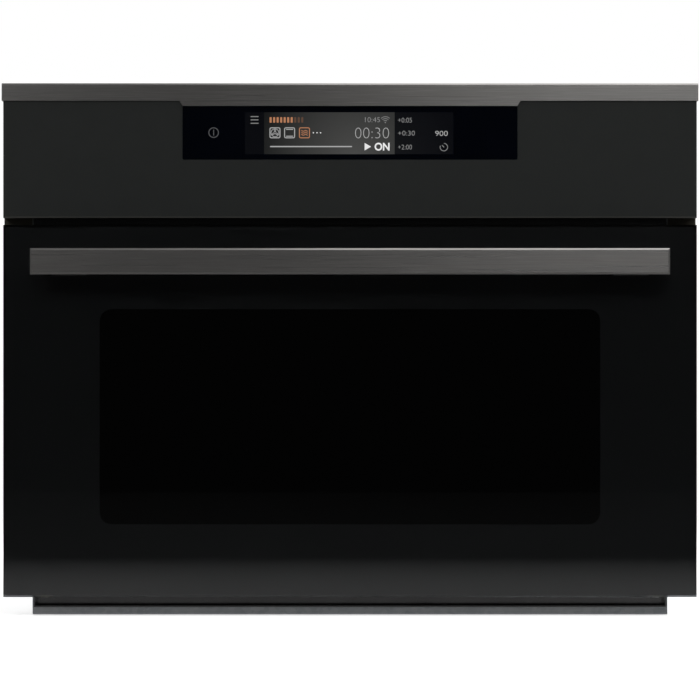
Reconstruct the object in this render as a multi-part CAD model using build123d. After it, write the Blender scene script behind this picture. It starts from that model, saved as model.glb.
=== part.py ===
from build123d import *
import os
from math import cos, radians, sin

os.makedirs("parts", exist_ok=True)

# Compact built-in combination microwave oven, in millimetres.
# +X is to the right, the front looks to -Y and +Z is up. The origin is the middle of the cabinet's
# front edge at the height of the oven's underside.

# Outside of the oven
front_width = 595.0
front_height = 455.0
front_depth = 21.0
body_setback = 24.5
body_drop = 15.0
body_depth = 546.0
casing_sheet = 1.0
side_turn = 12.0

front_half = front_width / 2
front_y = -front_depth
body_half = front_half - body_setback
body_height = front_height - body_drop
body_inner = body_half - casing_sheet
roof_under = body_height - casing_sheet
rear_inner = body_depth - casing_sheet

# Flanges that meet the cabinet's front edge
flange_sheet = 1.5
flange_bottom = 20.0
flange_leg = 25.0
flange_setback = 0.5
flange_lap = 14.0
screw_hole_radius = 2.5
screw_offset = 15.0
screw_low = 60.0
screw_top_inset = 36.0

flange_half = front_half - flange_setback
screw_x = body_half + screw_offset

# Control panel: fascia, trim band with its tongue, display glass
panel_height = 115.0
fascia_wall = 1.2
fascia_bend = 0.8
trim_wall = 1.2
trim_height = 15.0
trim_chamfer = 1.5
tongue_width = 286.0
tongue_drop = 4.4
tongue_slant = 2.7
tongue_round = 1.2
display_width = 286.0
display_height = 45.8
display_lap = 2.0
display_wall = 3.0
display_corner = 1.6
lcd_width = 178.0
lcd_height = 36.0
lcd_border = 5.0
lcd_lug = 9.0
lcd_lug_rise = 6.0
lcd_lug_wall = 2.0
lcd_recess = 0.8
carrier_wall = 2.0
carrier_clearance = 0.3
board_wall = 1.6
board_post = 5.0
board_margin = 9.0
board_reach = 18.0
board_overlap = 2.0
board_plug = 22.0
board_plug_inset = 42.0
board_plug_height = 8.0
board_plug_depth = 4.4
chip_half = 12.0
chip_height = 2.0
sounder_radius = 7.0
sounder_height = 4.0
rib_count = 4
rib_wall = 1.6
rib_depth = 10.0
rib_margin = 12.0
post_size = 8.0
post_inset = 2.0
foot_radius = 6.0
foot_inset = 14.0
foot_side = 40.0
cable_half = 30.0
cable_rise = 10.0
cable_height = 16.0
cable_margin = 4.0

panel_bottom = front_height - panel_height
panel_back = -flange_sheet
fascia_half = front_half - trim_wall
fascia_top = front_height - trim_wall
trim_front = front_y - trim_wall
band_bottom = front_height - trim_height
tongue_bottom = band_bottom - tongue_drop
display_half = display_width / 2
display_bottom = tongue_bottom - display_height
display_top = tongue_bottom + display_lap
display_back = front_y + display_wall
display_mid = (display_bottom + tongue_bottom) / 2
carrier_half = fascia_half - fascia_wall - carrier_clearance
carrier_bottom = panel_bottom + fascia_wall + carrier_clearance
carrier_top = fascia_top - fascia_wall - carrier_clearance
carrier_front = panel_back - carrier_wall
board_back = carrier_front - board_post
board_front = board_back - board_wall
board_half = display_half + board_margin
board_bottom = display_bottom - board_reach
board_top = tongue_bottom + board_overlap
flange_top = panel_bottom + flange_lap

# Door: outer glass, pan, choke that plugs the recess of the front frame, and the hinge line
panel_gap = 6.0
door_lift = 16.0
outer_glass = 4.0
door_glass_edge = 0.5
pan_sheet = 1.0
pan_setback = 7.5
flange_clearance = 0.5
profile_width = 19.5
profile_wall = 1.2
profile_corner = 5.0
top_trim_height = 11.0
hinge_rise = 6.0
hinge_offset = 10.0
hinge_plate = 6.0
pin_radius = 3.0
pin_head = 0.8
pin_fit = 0.02
bearing_clearance = 0.06
ear_radius = 6.0
ear_flats = 12
ear_sheet = 3.5
ear_side_gap = 0.2
arm_height = 88.0
nose_radius = 7.0
slot_clearance = 0.8
plug_gap = 5.0
door_head = 27.5
choke_width = 28.0
choke_sheet = 1.0
choke_lip = 12.0
choke_slot = 4.0
choke_pitch = 42.0
choke_slot_depth = 6.0
plug_clearance = 0.5
choke_cover_wall = 2.0
glass_lap = 7.0
glass_clearance = 0.4
middle_glass_margin = 4.0

door_half = fascia_half
door_bottom = door_lift
door_top = panel_bottom - panel_gap
glass_back = front_y + outer_glass
pan_back = -flange_sheet - flange_clearance
pan_front = pan_back - pan_sheet
pan_half = front_half - pan_setback
pan_top = door_top - top_trim_height
pivot_y = pan_front - ear_radius
pivot_z = door_bottom + hinge_rise
pan_bottom = pivot_z + nose_radius + 3.0
plug_bottom = pivot_z + nose_radius + plug_gap
plug_top = door_top - door_head
hinge_x = body_inner - hinge_offset
profile_inner = door_half - profile_width

# Front frame: a pressed tray that the door closes into, and the flat above it behind the panel
frame_sheet = 1.2
frame_bottom = 6.0
frame_head = 2.0
recess_depth = 18.0
frame_flat_depth = 1.2
frame_vent_count = 12
frame_vent_pitch = 36.0
frame_vent_length = 28.0
frame_vent_rise = 10.0

frame_back = recess_depth + frame_sheet
frame_shelf = door_top + frame_head
screw_high = frame_shelf - screw_top_inset
plug_back = recess_depth - plug_clearance
lip_back = plug_back - choke_cover_wall

# Oven cavity and its insulation
side_air_gap = 11.2
insulation_wall = 20.0
liner_sheet = 0.8
liner_corner = 12.0
liner_flange = 8.0
motor_space = 76.0
fan_chamber = 38.0
dome_depth = 24.0
dome_radius = 90.0
feed_half = 32.0
deck_sheet = 1.0

cavity_half = body_inner - side_air_gap - insulation_wall - liner_sheet
plug_half = cavity_half + choke_width
cavity_floor = plug_bottom + choke_width
cavity_ceiling = plug_top - choke_width
cavity_mid = (cavity_floor + cavity_ceiling) / 2
liner_back = rear_inner - motor_space
liner_back_inner = liner_back - liner_sheet
cover_front = liner_back_inner - fan_chamber
insulation_half = cavity_half + liner_sheet + insulation_wall
insulation_bottom = cavity_floor - liner_sheet - insulation_wall
insulation_back = liner_back + insulation_wall
dome_top = cavity_ceiling + dome_depth
deck_under = dome_top + liner_sheet
deck_top = deck_under + deck_sheet
dome_y = (frame_back + cover_front) / 2 - 10.0

# Convection fan, ring heater and their cover
cover_sheet = 0.8
cover_side_margin = 35.0
cover_height_margin = 4.0
cover_flange = 6.0
cover_draft = 6.0
cover_slot = 4.4
inlet_count = 16
outlet_count = 7
outlet_pitch = 20.0
heater_tube = 3.5
heater_gap = 2.0
heater_steps = 24
heater_leg = 6.0
heater_sweep = 326.0
wheel_gap = 12.0
wheel_depth = 24.0
wheel_sheet = 1.2
wheel_back_gap = 6.0
blade_count = 10
wheel_flats = 30
blade_flats = 3
blade_root = 34.0
blade_sag = 0.2
blade_lift = 0.12
hub_radius = 10.0
hub_step = 6.0
shaft_radius = 4.0
shaft_nut = 6.0
shaft_nut_height = 4.0
shaft_engagement = 14.0
motor_stand = 22.0
stator_size = 56.0
stator_depth = 20.0
motor_length = 44.0
motor_leg = 3.5
motor_bearing = 10.0
motor_bearing_length = 16.0
outlet_inset = 10.0
outlet_length = 14.0

cover_half = cavity_half - cover_side_margin
cover_half_height = (cavity_ceiling - cavity_floor) / 2 - cover_height_margin
heater_radius = cover_half_height - cover_flange - cover_draft - cover_sheet - heater_tube - heater_gap
wheel_radius = heater_radius - heater_tube - wheel_gap
wheel_back = liner_back_inner - wheel_back_gap
wheel_front = wheel_back - wheel_depth
motor_front = liner_back + motor_stand
heater_y = (wheel_front + wheel_back) / 2

# Grill tubes, lamp, probe, racks, shelf and tray
grill_tube_radius = 5.5
grill_drop = 16.0
grill_half = 170.0
grill_offset = 110.0
grill_cap = 14.0
lamp_half = 24.0
lamp_rise = 5.0
lamp_bevel = 3.5
lamp_socket_drop = 4.0
lamp_socket_half = 13.0
lamp_inset = 45.0
probe_radius = 2.5
probe_reach = 70.0
probe_inset = 14.0
probe_drop = 36.0
wire_flats = 8
rail_radius = 2.5
rail_tie_radius = 2.2
post_radius = 3.0
rail_reach = 11.0
rail_low = 45.0
rail_pitch = 50.0
rail_count = 3
rack_front_inset = 42.0
rack_rear_inset = 28.0
rack_end = 18.0
rack_stud = 5.0
rack_stud_inset = 10.0
rail_overhang = 12.0
shelf_wire = 3.0
shelf_side = 3.2
shelf_bar = 2.0
shelf_bar_pitch = 36.0
shelf_seat = 0.25
shelf_overhang = 4.0
shelf_front_inset = 14.0
shelf_rear_inset = 8.0
shelf_bar_margin = 20.0
tray_wall = 4.0
tray_height = 14.0
tray_corner = 24.0
tray_side_gap = 14.0
tray_end_gap = 12.0

rack_front = frame_back + rack_front_inset
rack_rear = cover_front - rack_rear_inset
post_x = cavity_half - post_radius
rail_x = cavity_half - rail_reach
probe_x = -cover_half - probe_inset
probe_z = cavity_ceiling - probe_drop
lamp_x = cavity_half - lamp_inset
lamp_y = cover_front - 30.0

# Stirrer, waveguide and what stands on the deck
stirrer_cover_wall = 1.5
stirrer_cover_lap = 6.0
stirrer_shaft = 3.0
stirrer_hub = 8.0
stirrer_clearance = 12.0
stirrer_lift = 7.0
vane_count = 3
vane_rise = 6.0
vane_pitch = 7.0
vane_sheet = 1.2
motor_ear = 9.0
motor_ear_sheet = 1.5
guide_height = 36.0
guide_width = 90.0
guide_sheet = 1.0
guide_left = 50.0
guide_right = 190.0
tube_x = 148.0
antenna_radius = 7.5
antenna_length = 24.0
anode_radius = 20.0
magnet_radius = 28.0
magnet_height = 14.0
filter_box_width = 30.0
filter_box_half = 34.0
yoke_lift = 2.0
yoke_width = 92.0
yoke_height = 72.0
yoke_depth = 80.0
yoke_sheet = 2.0
fin_count = 5
fin_sheet = 0.8
guide_foot = 8.0
guide_shaft_gap = 2.0
guide_antenna_gap = 4.0
stirrer_motor_radius = 24.0
stirrer_motor_height = 16.0
running_clearance = 0.06
core_half = 48.0
core_depth = 60.0
core_height = 76.0
coil_height = 20.0
coil_gap = 4.0
transformer_foot = 2.0
capacitor_width = 54.0
capacitor_height = 36.0
capacitor_length = 84.0
capacitor_bevel = 9.0
standoff = 10.0
standoff_radius = 3.0
relay_count = 4
relay_pitch = 26.0
relay_height = 17.0
sink_fins = 5
sink_height = 32.0

guide_top = deck_top + guide_height
power_x = -guide_left - 128
dome_inner = dome_radius - liner_sheet
stirrer_reach = dome_inner * cos(radians(22.5)) - stirrer_clearance

# Cooling blower on the rear of the deck
scroll_radius = 42.0
scroll_flats = 16
scroll_sheet = 1.0
scroll_half = 118.0
scroll_outlet = 60.0
blower_radius = 30.0
blower_blades = 12
blower_blade_root = 23.0
blower_disc = 1.2
blower_end_gap = 4.0
pole_half = 26.0
pole_motor_length = 28.0
blower_y = rear_inner - 96.0
blower_z = deck_top + scroll_radius

# Interlock switches that the door's hooks press
hook_width = 6.0
hook_rise = 9.5
hook_height = 8.0
hook_reach = 40.0
hook_offset = 10.0
latch_side_gap = 1.0
latch_below = 7.0
latch_above = 10.0
plunger_radius = 2.92
plunger_bore = 3.0
plunger_head = 5.0
plunger_head_wall = 3.0
plunger_gap = 0.3
plunger_travel = 5.0
switch_width = 18.0
switch_depth = 26.0

hook_x = cavity_half + hook_offset
hook_z = plug_top + hook_rise
head_front = hook_reach + plunger_gap
switch_front = head_front + plunger_head_wall + 0.4

# Door handle
handle_inset = 27.5
handle_height = 22.0
handle_wall = 9.0
handle_edge = 1.5
handle_reach = 42.0
handle_drop = 32.0
handle_foot = 30.0
handle_waist = 20.0

handle_half = front_half - handle_inset
handle_post_x = cavity_half
handle_z = door_top - handle_drop
handle_front = front_y - handle_reach
handle_back = handle_front + handle_wall

# Openings and stiffeners in the casing
bead_inset = 40.0
bead_front = 160.0
bead_width = 10.0
bead_rise = 1.5
floor_vent_y = 60.0
floor_vent_count = 9
side_vent_count = 10
side_vent_drop = 75.0
rear_vent_inset = 60.0
roof_vent_count = 8
roof_vent_x = 60.0
roof_vent_inset = 90.0
louvre_count = 7
louvre_half = 70.0
louvre_low = 45.0
louvre_reach = 3.5
vent_length = 40.0
vent_width = 4.0
vent_pitch = 12.0
gland_bore = 4.5
gland_radius = 9.0
gland_head = 12.0
gland_flange = 4.0
gland_clearance = 0.1
gland_barrel = 9.0
terminal_rise = 22.0
terminal_half = 26.0
terminal_height = 24.0
terminal_depth = 20.0
terminal_pitch = 16.0
terminal_well = 10.0
mains_inset = 48.0
mains_drop = 67.0

mains_x = mains_inset - body_inner
mains_z = roof_under - mains_drop


def block(left, right, low, high, corner=0.0):
    """Rectangle between its limits, with rounded corners where corner is given."""
    width, height = right - left, high - low
    outline = RectangleRounded(width, height, corner) if corner else Rectangle(width, height)
    return Pos((left + right) / 2, (low + high) / 2) * outline


def disc(across, up, radius):
    return Pos(across, up) * Circle(radius)


def polygon(*corners):
    return make_face(Polyline(*corners, close=True))


def along_x(outline, start, end):
    """An outline drawn as (y, z), pulled from x = start to x = end."""
    return extrude(Plane.YZ.offset(start) * outline, end - start)


def along_y(outline, start, end):
    """An outline drawn as (x, z), pulled from y = start to y = end."""
    return extrude(Plane.XZ.offset(-end) * outline, end - start)


def along_z(outline, start, end):
    """An outline drawn as (x, y), pulled from z = start to z = end."""
    return extrude(Plane.XY.offset(start) * outline, end - start)


def rod(start, end, radius):
    """Round bar between two points."""
    run = Vector(*end) - Vector(*start)
    upright = Cylinder(radius, run.length, align=(Align.CENTER, Align.CENTER, Align.MIN))
    return Plane(origin=start, z_dir=run) * upright


def wire(start, end, radius):
    """Straight wire or tube between two points, with a few flats because the oven has so many."""
    run = Vector(*end) - Vector(*start)
    return Plane(origin=start, z_dir=run) * extrude(RegularPolygon(radius, wire_flats), run.length)


def hexagon(across, up, radius):
    return Pos(across, up) * RegularPolygon(radius, 6)


def octagon(across, up, radius):
    return Pos(across, up) * Rot(0, 0, 22.5) * RegularPolygon(radius, 8)


def bent_strip(start, middle, end, thickness):
    """Cross-section of a curved blade in a few flats: points along an arc, and the same a thickness above."""
    arc = ThreePointArc(start, middle, end)
    lower = [arc @ (step / blade_flats) for step in range(blade_flats + 1)]
    upper = [point + Vector(0, thickness) for point in reversed(lower)]
    return make_face(Polyline(*lower, *upper, close=True))


def other_side(shape):
    """The same piece on the other side of the oven."""
    return mirror(shape, about=Plane.YZ)


def both_sides(shape):
    return shape + other_side(shape)


# Control panel


def control_fascia():
    """Folded front sheet, open at the back, with the cut-out for the display glass."""
    skin = along_y(block(-fascia_half, fascia_half, panel_bottom, fascia_top), front_y, panel_back)
    skin = fillet(skin.faces().sort_by(Axis.Y)[0].edges(), fascia_bend)
    inner_half = fascia_half - fascia_wall
    inside = block(-inner_half, inner_half, panel_bottom + fascia_wall, fascia_top - fascia_wall)
    edge = carrier_clearance / 2
    window = block(-display_half - edge, display_half + edge, display_bottom - edge, display_top + edge)
    return skin - along_y(inside, front_y + fascia_wall, panel_back) - along_y(window, front_y, 0)


def top_trim():
    """Brushed band over the fascia's top edge, with closed ends and the tongue above the display."""
    half = tongue_width / 2
    face = block(-front_half, front_half, band_bottom, front_height)
    tongue = polygon(
        (-half - tongue_slant, band_bottom),
        (half + tongue_slant, band_bottom),
        (half, tongue_bottom),
        (-half, tongue_bottom),
    )
    face = face + tongue
    near_tongue = [v for v in face.vertices() if v.Y < band_bottom + 0.1 and abs(v.X) < half + 5]
    face = fillet(near_tongue, tongue_round)
    roof = block(trim_front, panel_back, fascia_top, front_height)
    end_cap = block(fascia_half, front_half, band_bottom, front_height)
    ends = both_sides(along_y(end_cap, trim_front, panel_back))
    trim = along_y(face, trim_front, front_y) + along_x(roof, -front_half, front_half) + ends
    front_edge = trim.edges().filter_by(Axis.X).group_by(Axis.Z)[-1].sort_by(Axis.Y)[0]
    return chamfer(front_edge, trim_chamfer)


def display_glass():
    pane = block(-display_half, display_half, display_bottom, display_top, display_corner)
    return along_y(pane, front_y, display_back)


def display_module():
    """Screen in its frame, between the glass and the board, with side lugs and a window for the picture."""
    half, rise = lcd_width / 2 + lcd_border, lcd_height / 2 + lcd_border
    frame = along_y(block(-half, half, display_mid - rise, display_mid + rise), display_back, board_front)
    lug = block(half, half + lcd_lug, display_mid - lcd_lug_rise, display_mid + lcd_lug_rise)
    lugs = both_sides(along_y(lug, board_front - lcd_lug_wall, board_front))
    picture = block(-lcd_width / 2, lcd_width / 2, display_mid - lcd_height / 2, display_mid + lcd_height / 2)
    return frame + lugs - along_y(picture, display_back, display_back + lcd_recess)


def control_board():
    """Board with the touch fields, with the processor, plugs and sounder on its back."""
    board = along_y(block(-board_half, board_half, board_bottom, board_top), board_front, board_back)
    chip = block(-chip_half, chip_half, display_mid - chip_half, display_mid + chip_half)
    edge = board_half - board_plug_inset
    board += along_y(chip, board_back, board_back + chip_height)
    board += along_y(hexagon(edge, display_mid, sounder_radius), board_back, board_back + sounder_height)
    plug_low = board_bottom + board_plug_height / 2
    for left in (-edge, 50 - edge, edge - 40):
        plug = block(left, left + board_plug, plug_low, plug_low + board_plug_height)
        board += along_y(plug, board_back, board_back + board_plug_depth)
    return board


def cable_outline(margin):
    """The opening for the cables behind the panel, widened by margin."""
    low = carrier_bottom + cable_rise
    return block(-cable_half - margin, cable_half + margin, low - margin, low + cable_height + margin)


def panel_carrier():
    """Moulded carrier that fills the fascia: rim, stiffening ribs, posts for the board, feet on the frame."""
    outer = block(-carrier_half, carrier_half, carrier_bottom, carrier_top)
    inner_half = carrier_half - carrier_wall
    inner = block(-inner_half, inner_half, carrier_bottom + carrier_wall, carrier_top - carrier_wall)
    carrier = along_y(outer - inner, front_y + fascia_wall, panel_back)
    carrier += along_y(outer - cable_outline(0), carrier_front, panel_back)
    first_rib = board_half + rib_margin
    for step in range(rib_count):
        x = first_rib + step * (inner_half - first_rib) / rib_count
        rib = block(x, x + rib_wall, carrier_bottom, carrier_top)
        carrier += both_sides(along_y(rib, carrier_front - rib_depth, carrier_front))
    right = board_half - post_inset
    for low in (board_bottom + post_inset, board_top - post_inset - post_size):
        post = block(right - post_size, right, low, low + post_size)
        carrier += both_sides(along_y(post, board_back, carrier_front))
    for z in (panel_bottom + foot_inset, roof_under - foot_inset):
        foot = hexagon(body_inner - foot_side, z, foot_radius)
        carrier += both_sides(along_y(foot, carrier_front, 0))
    return carrier


# Casing


def base_plate():
    """Floor of the casing with its edges turned up, a pressed stiffener and holes for cooling air."""
    floor = along_z(block(-body_inner, body_inner, panel_back, rear_inner), 0, casing_sheet)
    turn = block(body_inner - casing_sheet, body_inner, 0, side_turn)
    floor += both_sides(along_y(turn, frame_back, rear_inner))
    front_turn = block(0, casing_sheet, 0, frame_bottom)
    floor += along_x(front_turn, -body_inner, body_inner)
    inner_half = body_inner - bead_inset
    bead = block(-inner_half, inner_half, bead_front, rear_inner - bead_inset)
    bead -= offset(bead, -bead_width, kind=Kind.INTERSECTION)
    floor += along_z(bead, casing_sheet, casing_sheet + bead_rise)
    for step in range(floor_vent_count):
        x = (step - (floor_vent_count - 1) / 2) * vent_length
        slot = block(x - vent_width / 2, x + vent_width / 2, floor_vent_y, floor_vent_y + vent_length)
        floor -= along_z(slot, 0, casing_sheet)
    return floor


def side_panel():
    """Right side of the casing, with its rear edge turned in behind the rear cover and a row of vents."""
    wall = block(body_inner, body_half, 0, rear_inner)
    turn = block(body_inner - side_turn, body_inner, rear_inner - casing_sheet, rear_inner)
    wall_height = along_z(wall, 0, roof_under)
    panel = wall_height + along_z(turn, side_turn + casing_sheet, roof_under - side_turn)
    low = roof_under - side_vent_drop
    for step in range(side_vent_count):
        y = rear_inner - rear_vent_inset - step * vent_pitch
        slot = block(y, y + vent_width, low, low + vent_length)
        panel -= along_x(slot, body_inner, body_half)
    return panel


def top_cover():
    """Flat lid with turned-down sides and two fields of vents."""
    lid = along_z(block(-body_half, body_half, 0, rear_inner), roof_under, body_height)
    turn = block(body_inner - casing_sheet, body_inner, roof_under - side_turn + 2, roof_under)
    lid += both_sides(along_y(turn, 40, rear_inner - 40))
    front = rear_inner - roof_vent_inset
    for step in range(roof_vent_count):
        x = roof_vent_x + step * vent_pitch
        slot = block(x, x + vent_width, front, front + vent_length)
        lid -= both_sides(along_z(slot, roof_under, body_height))
    return lid


def rear_cover():
    """Back of the casing with pressed louvres, and the hole for the cord bushing."""
    sheet = along_y(block(-body_half, body_half, 0, body_height), rear_inner, body_depth)
    gland_hole = disc(mains_x, mains_z, gland_radius + gland_clearance)
    sheet -= along_y(gland_hole, rear_inner, body_depth)
    inner_y = rear_inner - louvre_reach
    for step in range(louvre_count):
        z = cavity_mid - louvre_low + step * vent_pitch * 1.25
        slot = along_y(block(-louvre_half, louvre_half, z, z + vent_width), rear_inner, body_depth)
        hood = polygon(
            (rear_inner, z + vent_width + 3),
            (inner_y, z + 1),
            (inner_y, z),
            (rear_inner, z + vent_width + 1),
        )
        sheet = sheet - slot + along_x(hood, -louvre_half, louvre_half)
    return sheet


def front_frame():
    """Pressed tray that the door closes into, with the oven mouth, and the flat behind the panel."""
    tray = block(-body_inner, body_inner, frame_bottom, frame_shelf)
    wall = frame_sheet
    inside = block(-body_inner + wall, body_inner - wall, frame_bottom + wall, frame_shelf - wall)
    frame = along_y(tray, 0, frame_back) - along_y(inside, 0, recess_depth)
    flat = block(-body_inner, body_inner, frame_shelf - wall, roof_under)
    frame += along_y(flat - cable_outline(cable_margin), 0, frame_flat_depth)
    mouth = block(-cavity_half, cavity_half, cavity_floor, cavity_ceiling, liner_corner)
    frame -= along_y(mouth, recess_depth, frame_back)
    neck_half = hinge_plate / 2 + slot_clearance
    neck_rise = nose_radius + slot_clearance
    neck = block(hinge_x - neck_half, hinge_x + neck_half, pivot_z - neck_rise, pivot_z + neck_rise)
    hook_half = hook_width / 2 + latch_side_gap
    latch = block(hook_x - hook_half, hook_x + hook_half, hook_z - latch_below, hook_z + latch_above)
    frame -= both_sides(along_y(neck, recess_depth, frame_back))
    frame -= both_sides(along_y(latch, recess_depth, frame_back))
    low = deck_top + frame_vent_rise
    for step in range(frame_vent_count):
        left = (step - (frame_vent_count - 1) / 2) * frame_vent_pitch - frame_vent_length / 2
        slot = block(left, left + frame_vent_length, low, low + vent_width)
        frame -= along_y(slot, recess_depth, frame_back)
    return frame


def mounting_flange():
    """Angle on the right side panel. Its face meets the cabinet and takes the fixing screws."""
    corner = polygon(
        (body_half, -flange_sheet),
        (flange_half, -flange_sheet),
        (flange_half, 0),
        (body_half + flange_sheet, 0),
        (body_half + flange_sheet, flange_leg),
        (body_half, flange_leg),
    )
    angle = along_z(corner, flange_bottom, flange_top)
    for z in (screw_low, screw_high):
        angle -= along_y(disc(screw_x, z, screw_hole_radius), -flange_sheet, 0)
    return angle


def cord_gland():
    """Bushing in the rear cover for the mains cord."""
    barrel_front, outside = rear_inner - gland_barrel, body_depth + gland_flange
    bush = along_y(hexagon(mains_x, mains_z, gland_radius), barrel_front, body_depth)
    bush += along_y(hexagon(mains_x, mains_z, gland_head), body_depth, outside)
    bush += along_y(hexagon(mains_x, mains_z, gland_head), rear_inner - gland_flange, rear_inner)
    return bush - along_y(disc(mains_x, mains_z, gland_bore), barrel_front, outside)


def terminal_block():
    """Screw terminals for the mains cord, on a foot against the rear cover."""
    low, front, back = mains_z + terminal_rise, rear_inner - terminal_depth, rear_inner - 6
    outline = block(mains_x - terminal_half, mains_x + terminal_half, low, low + terminal_height)
    terminals = along_y(outline, front, rear_inner)
    for step in (-1, 0, 1):
        left = mains_x + step * terminal_pitch - terminal_well / 2
        well = block(left, left + terminal_well, low + 4, low + 4 + terminal_well)
        terminals -= along_y(well, front, back)
    for side in (-1, 1):
        x = mains_x + side * terminal_pitch / 2
        fin = block(x - 1, x + 1, low, low + terminal_height + 4)
        terminals += along_y(fin, front - 3, back)
    return terminals


# Oven cavity


def cavity_liner():
    """Enamelled oven box: rounded walls, front flange, and the dome in the ceiling for the stirrer."""
    inside = block(-cavity_half, cavity_half, cavity_floor, cavity_ceiling, liner_corner)
    wall = liner_sheet
    outside = block(
        -cavity_half - wall,
        cavity_half + wall,
        cavity_floor - wall,
        cavity_ceiling + wall,
        liner_corner + wall,
    )
    rim = liner_flange
    flange = block(-cavity_half - rim, cavity_half + rim, cavity_floor - rim, cavity_ceiling + rim)
    box = along_y(outside, frame_back, liner_back) + along_y(flange, frame_back, frame_back + wall)
    dome = along_z(octagon(0, dome_y, dome_radius), cavity_ceiling, deck_under)
    box += dome
    box -= along_y(inside, frame_back, liner_back_inner)
    box -= along_z(octagon(0, dome_y, dome_inner), cavity_ceiling, dome_top)
    box -= along_z(feed_outline(), dome_top, deck_under)
    box -= along_z(lamp_outline(), cavity_ceiling, cavity_ceiling + wall)
    for hole in back_wall_outlines(0.3):
        box -= along_y(hole, liner_back_inner, liner_back)
    return box


def feed_outline():
    """The opening that lets the microwaves from the waveguide into the dome, seen from above."""
    return block(-feed_half, feed_half, dome_y - feed_half, dome_y + feed_half)


def lamp_outline(clearance=0.3):
    """The opening for the lamp's socket, seen from above."""
    half = lamp_socket_half + clearance
    return block(lamp_x - half, lamp_x + half, lamp_y - half, lamp_y + half)


def back_wall_outlines(clearance):
    """Holes in the oven's back wall for the fan shaft, the heater's legs and the probe."""
    shaft_hole = hexagon(0, cavity_mid, shaft_radius + 2 + clearance)
    leg = heater_tube + clearance
    legs = [block(x - leg, x + leg, z - leg, z + leg) for x, z in heater_ends()]
    probe = probe_radius + clearance
    x, z = probe_x, probe_z
    return [shaft_hole, *legs, block(x - probe, x + probe, z - probe, z + probe)]


def insulation_blanket():
    """Mineral wool wrapped round the oven box, with holes for the dome, the lamp and the fan motor."""
    outer = block(-insulation_half, insulation_half, insulation_bottom, deck_under)
    wool_front = frame_back + liner_sheet
    wall = liner_sheet
    inner = block(-cavity_half - wall, cavity_half + wall, cavity_floor - wall, cavity_ceiling + wall)
    wool = along_y(outer, wool_front, insulation_back) - along_y(inner, wool_front, liner_back)
    wool -= along_z(octagon(0, dome_y, dome_radius), cavity_ceiling, deck_under)
    wool -= along_z(lamp_outline(2.0), cavity_ceiling, deck_under)
    wool -= along_y(hexagon(0, cavity_mid, stator_size * 0.75), liner_back, insulation_back)
    for hole in back_wall_outlines(3.0):
        wool -= along_y(hole, liner_back, insulation_back)
    return wool


def deck_plate():
    """Sheet over the oven box that carries the microwave source and the blower."""
    rear = rear_inner - casing_sheet
    deck = along_z(block(-body_inner, body_inner, frame_back, rear), deck_under, deck_top)
    turn = block(body_inner - deck_sheet, body_inner, deck_under - side_turn, deck_under)
    deck += both_sides(along_y(turn, frame_back, rear_inner - 20))
    deck -= along_z(feed_outline(), deck_under, deck_top)
    deck -= along_z(lamp_outline(2.0), deck_under, deck_top)
    for step in range(5):
        x = -body_inner + 40 + step * vent_pitch
        slot = block(x, x + vent_width, rear_inner - 70, rear_inner - 70 + vent_length)
        deck -= along_z(slot, deck_under, deck_top)
    return deck


def fan_cover():
    """Drawn sheet pan in front of the fan: radial inlet slots in the middle, outlets in its sloping sides."""
    low, high = cavity_mid - cover_half_height, cavity_mid + cover_half_height
    flange = block(-cover_half, cover_half, low, high)
    rim = cover_flange
    foot = block(-cover_half + rim, cover_half - rim, low + rim, high - rim)
    top = offset(foot, -cover_draft, kind=Kind.INTERSECTION)
    wall = cover_sheet
    foot_in = offset(foot, -wall, kind=Kind.INTERSECTION)
    top_in = offset(top, -wall, kind=Kind.INTERSECTION)
    front = Plane.XZ.offset(-cover_front)
    front_in = Plane.XZ.offset(-cover_front - wall)
    back = Plane.XZ.offset(-liner_back_inner)
    cover = loft([back * foot, front * top])
    cover += along_y(flange, liner_back_inner - wall, liner_back_inner)
    cover -= loft([back * foot_in, front_in * top_in])
    inlet = Pos(wheel_radius * 0.56, 0) * Rectangle(wheel_radius * 0.55, cover_slot)
    for step in range(inlet_count):
        slot = Pos(0, cavity_mid) * Rot(0, 0, step * 360 / inlet_count) * inlet
        cover -= along_y(slot, cover_front, cover_front + wall)
    for step in range(outlet_count):
        low = cavity_mid + (step - (outlet_count - 1) / 2) * outlet_pitch - cover_slot / 2
        outlet = block(cover_half / 2, cover_half, low, low + cover_slot)
        start = cover_front + outlet_inset
        cover -= both_sides(along_y(outlet, start, start + outlet_length))
    return cover


def convection_fan():
    """Open fan wheel with curved blades on its back plate, with the shaft that runs in the motor."""
    hub_depth = wheel_depth - hub_step
    wheel = extrude(RegularPolygon(wheel_radius, wheel_flats), wheel_sheet)
    wheel += extrude(RegularPolygon(hub_radius, 8), hub_depth)
    wheel += Pos(0, 0, hub_depth) * extrude(RegularPolygon(shaft_nut, 6), shaft_nut_height)
    tip = wheel_radius - 2
    span = tip - blade_root
    belly = ((blade_root + tip) / 2, -blade_sag * span)
    blade = bent_strip((blade_root, 0), belly, (tip, blade_lift * span), wheel_sheet)
    blade = extrude(blade, wheel_depth)
    for step in range(blade_count):
        wheel += Rot(0, 0, step * 360 / blade_count) * blade
    shaft_length = motor_front + shaft_engagement - wheel_back
    shaft = Cylinder(shaft_radius, shaft_length, align=(Align.CENTER, Align.CENTER, Align.MAX))
    return Pos(0, wheel_back, cavity_mid) * Rot(90, 0, 0) * (wheel + shaft)


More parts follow.
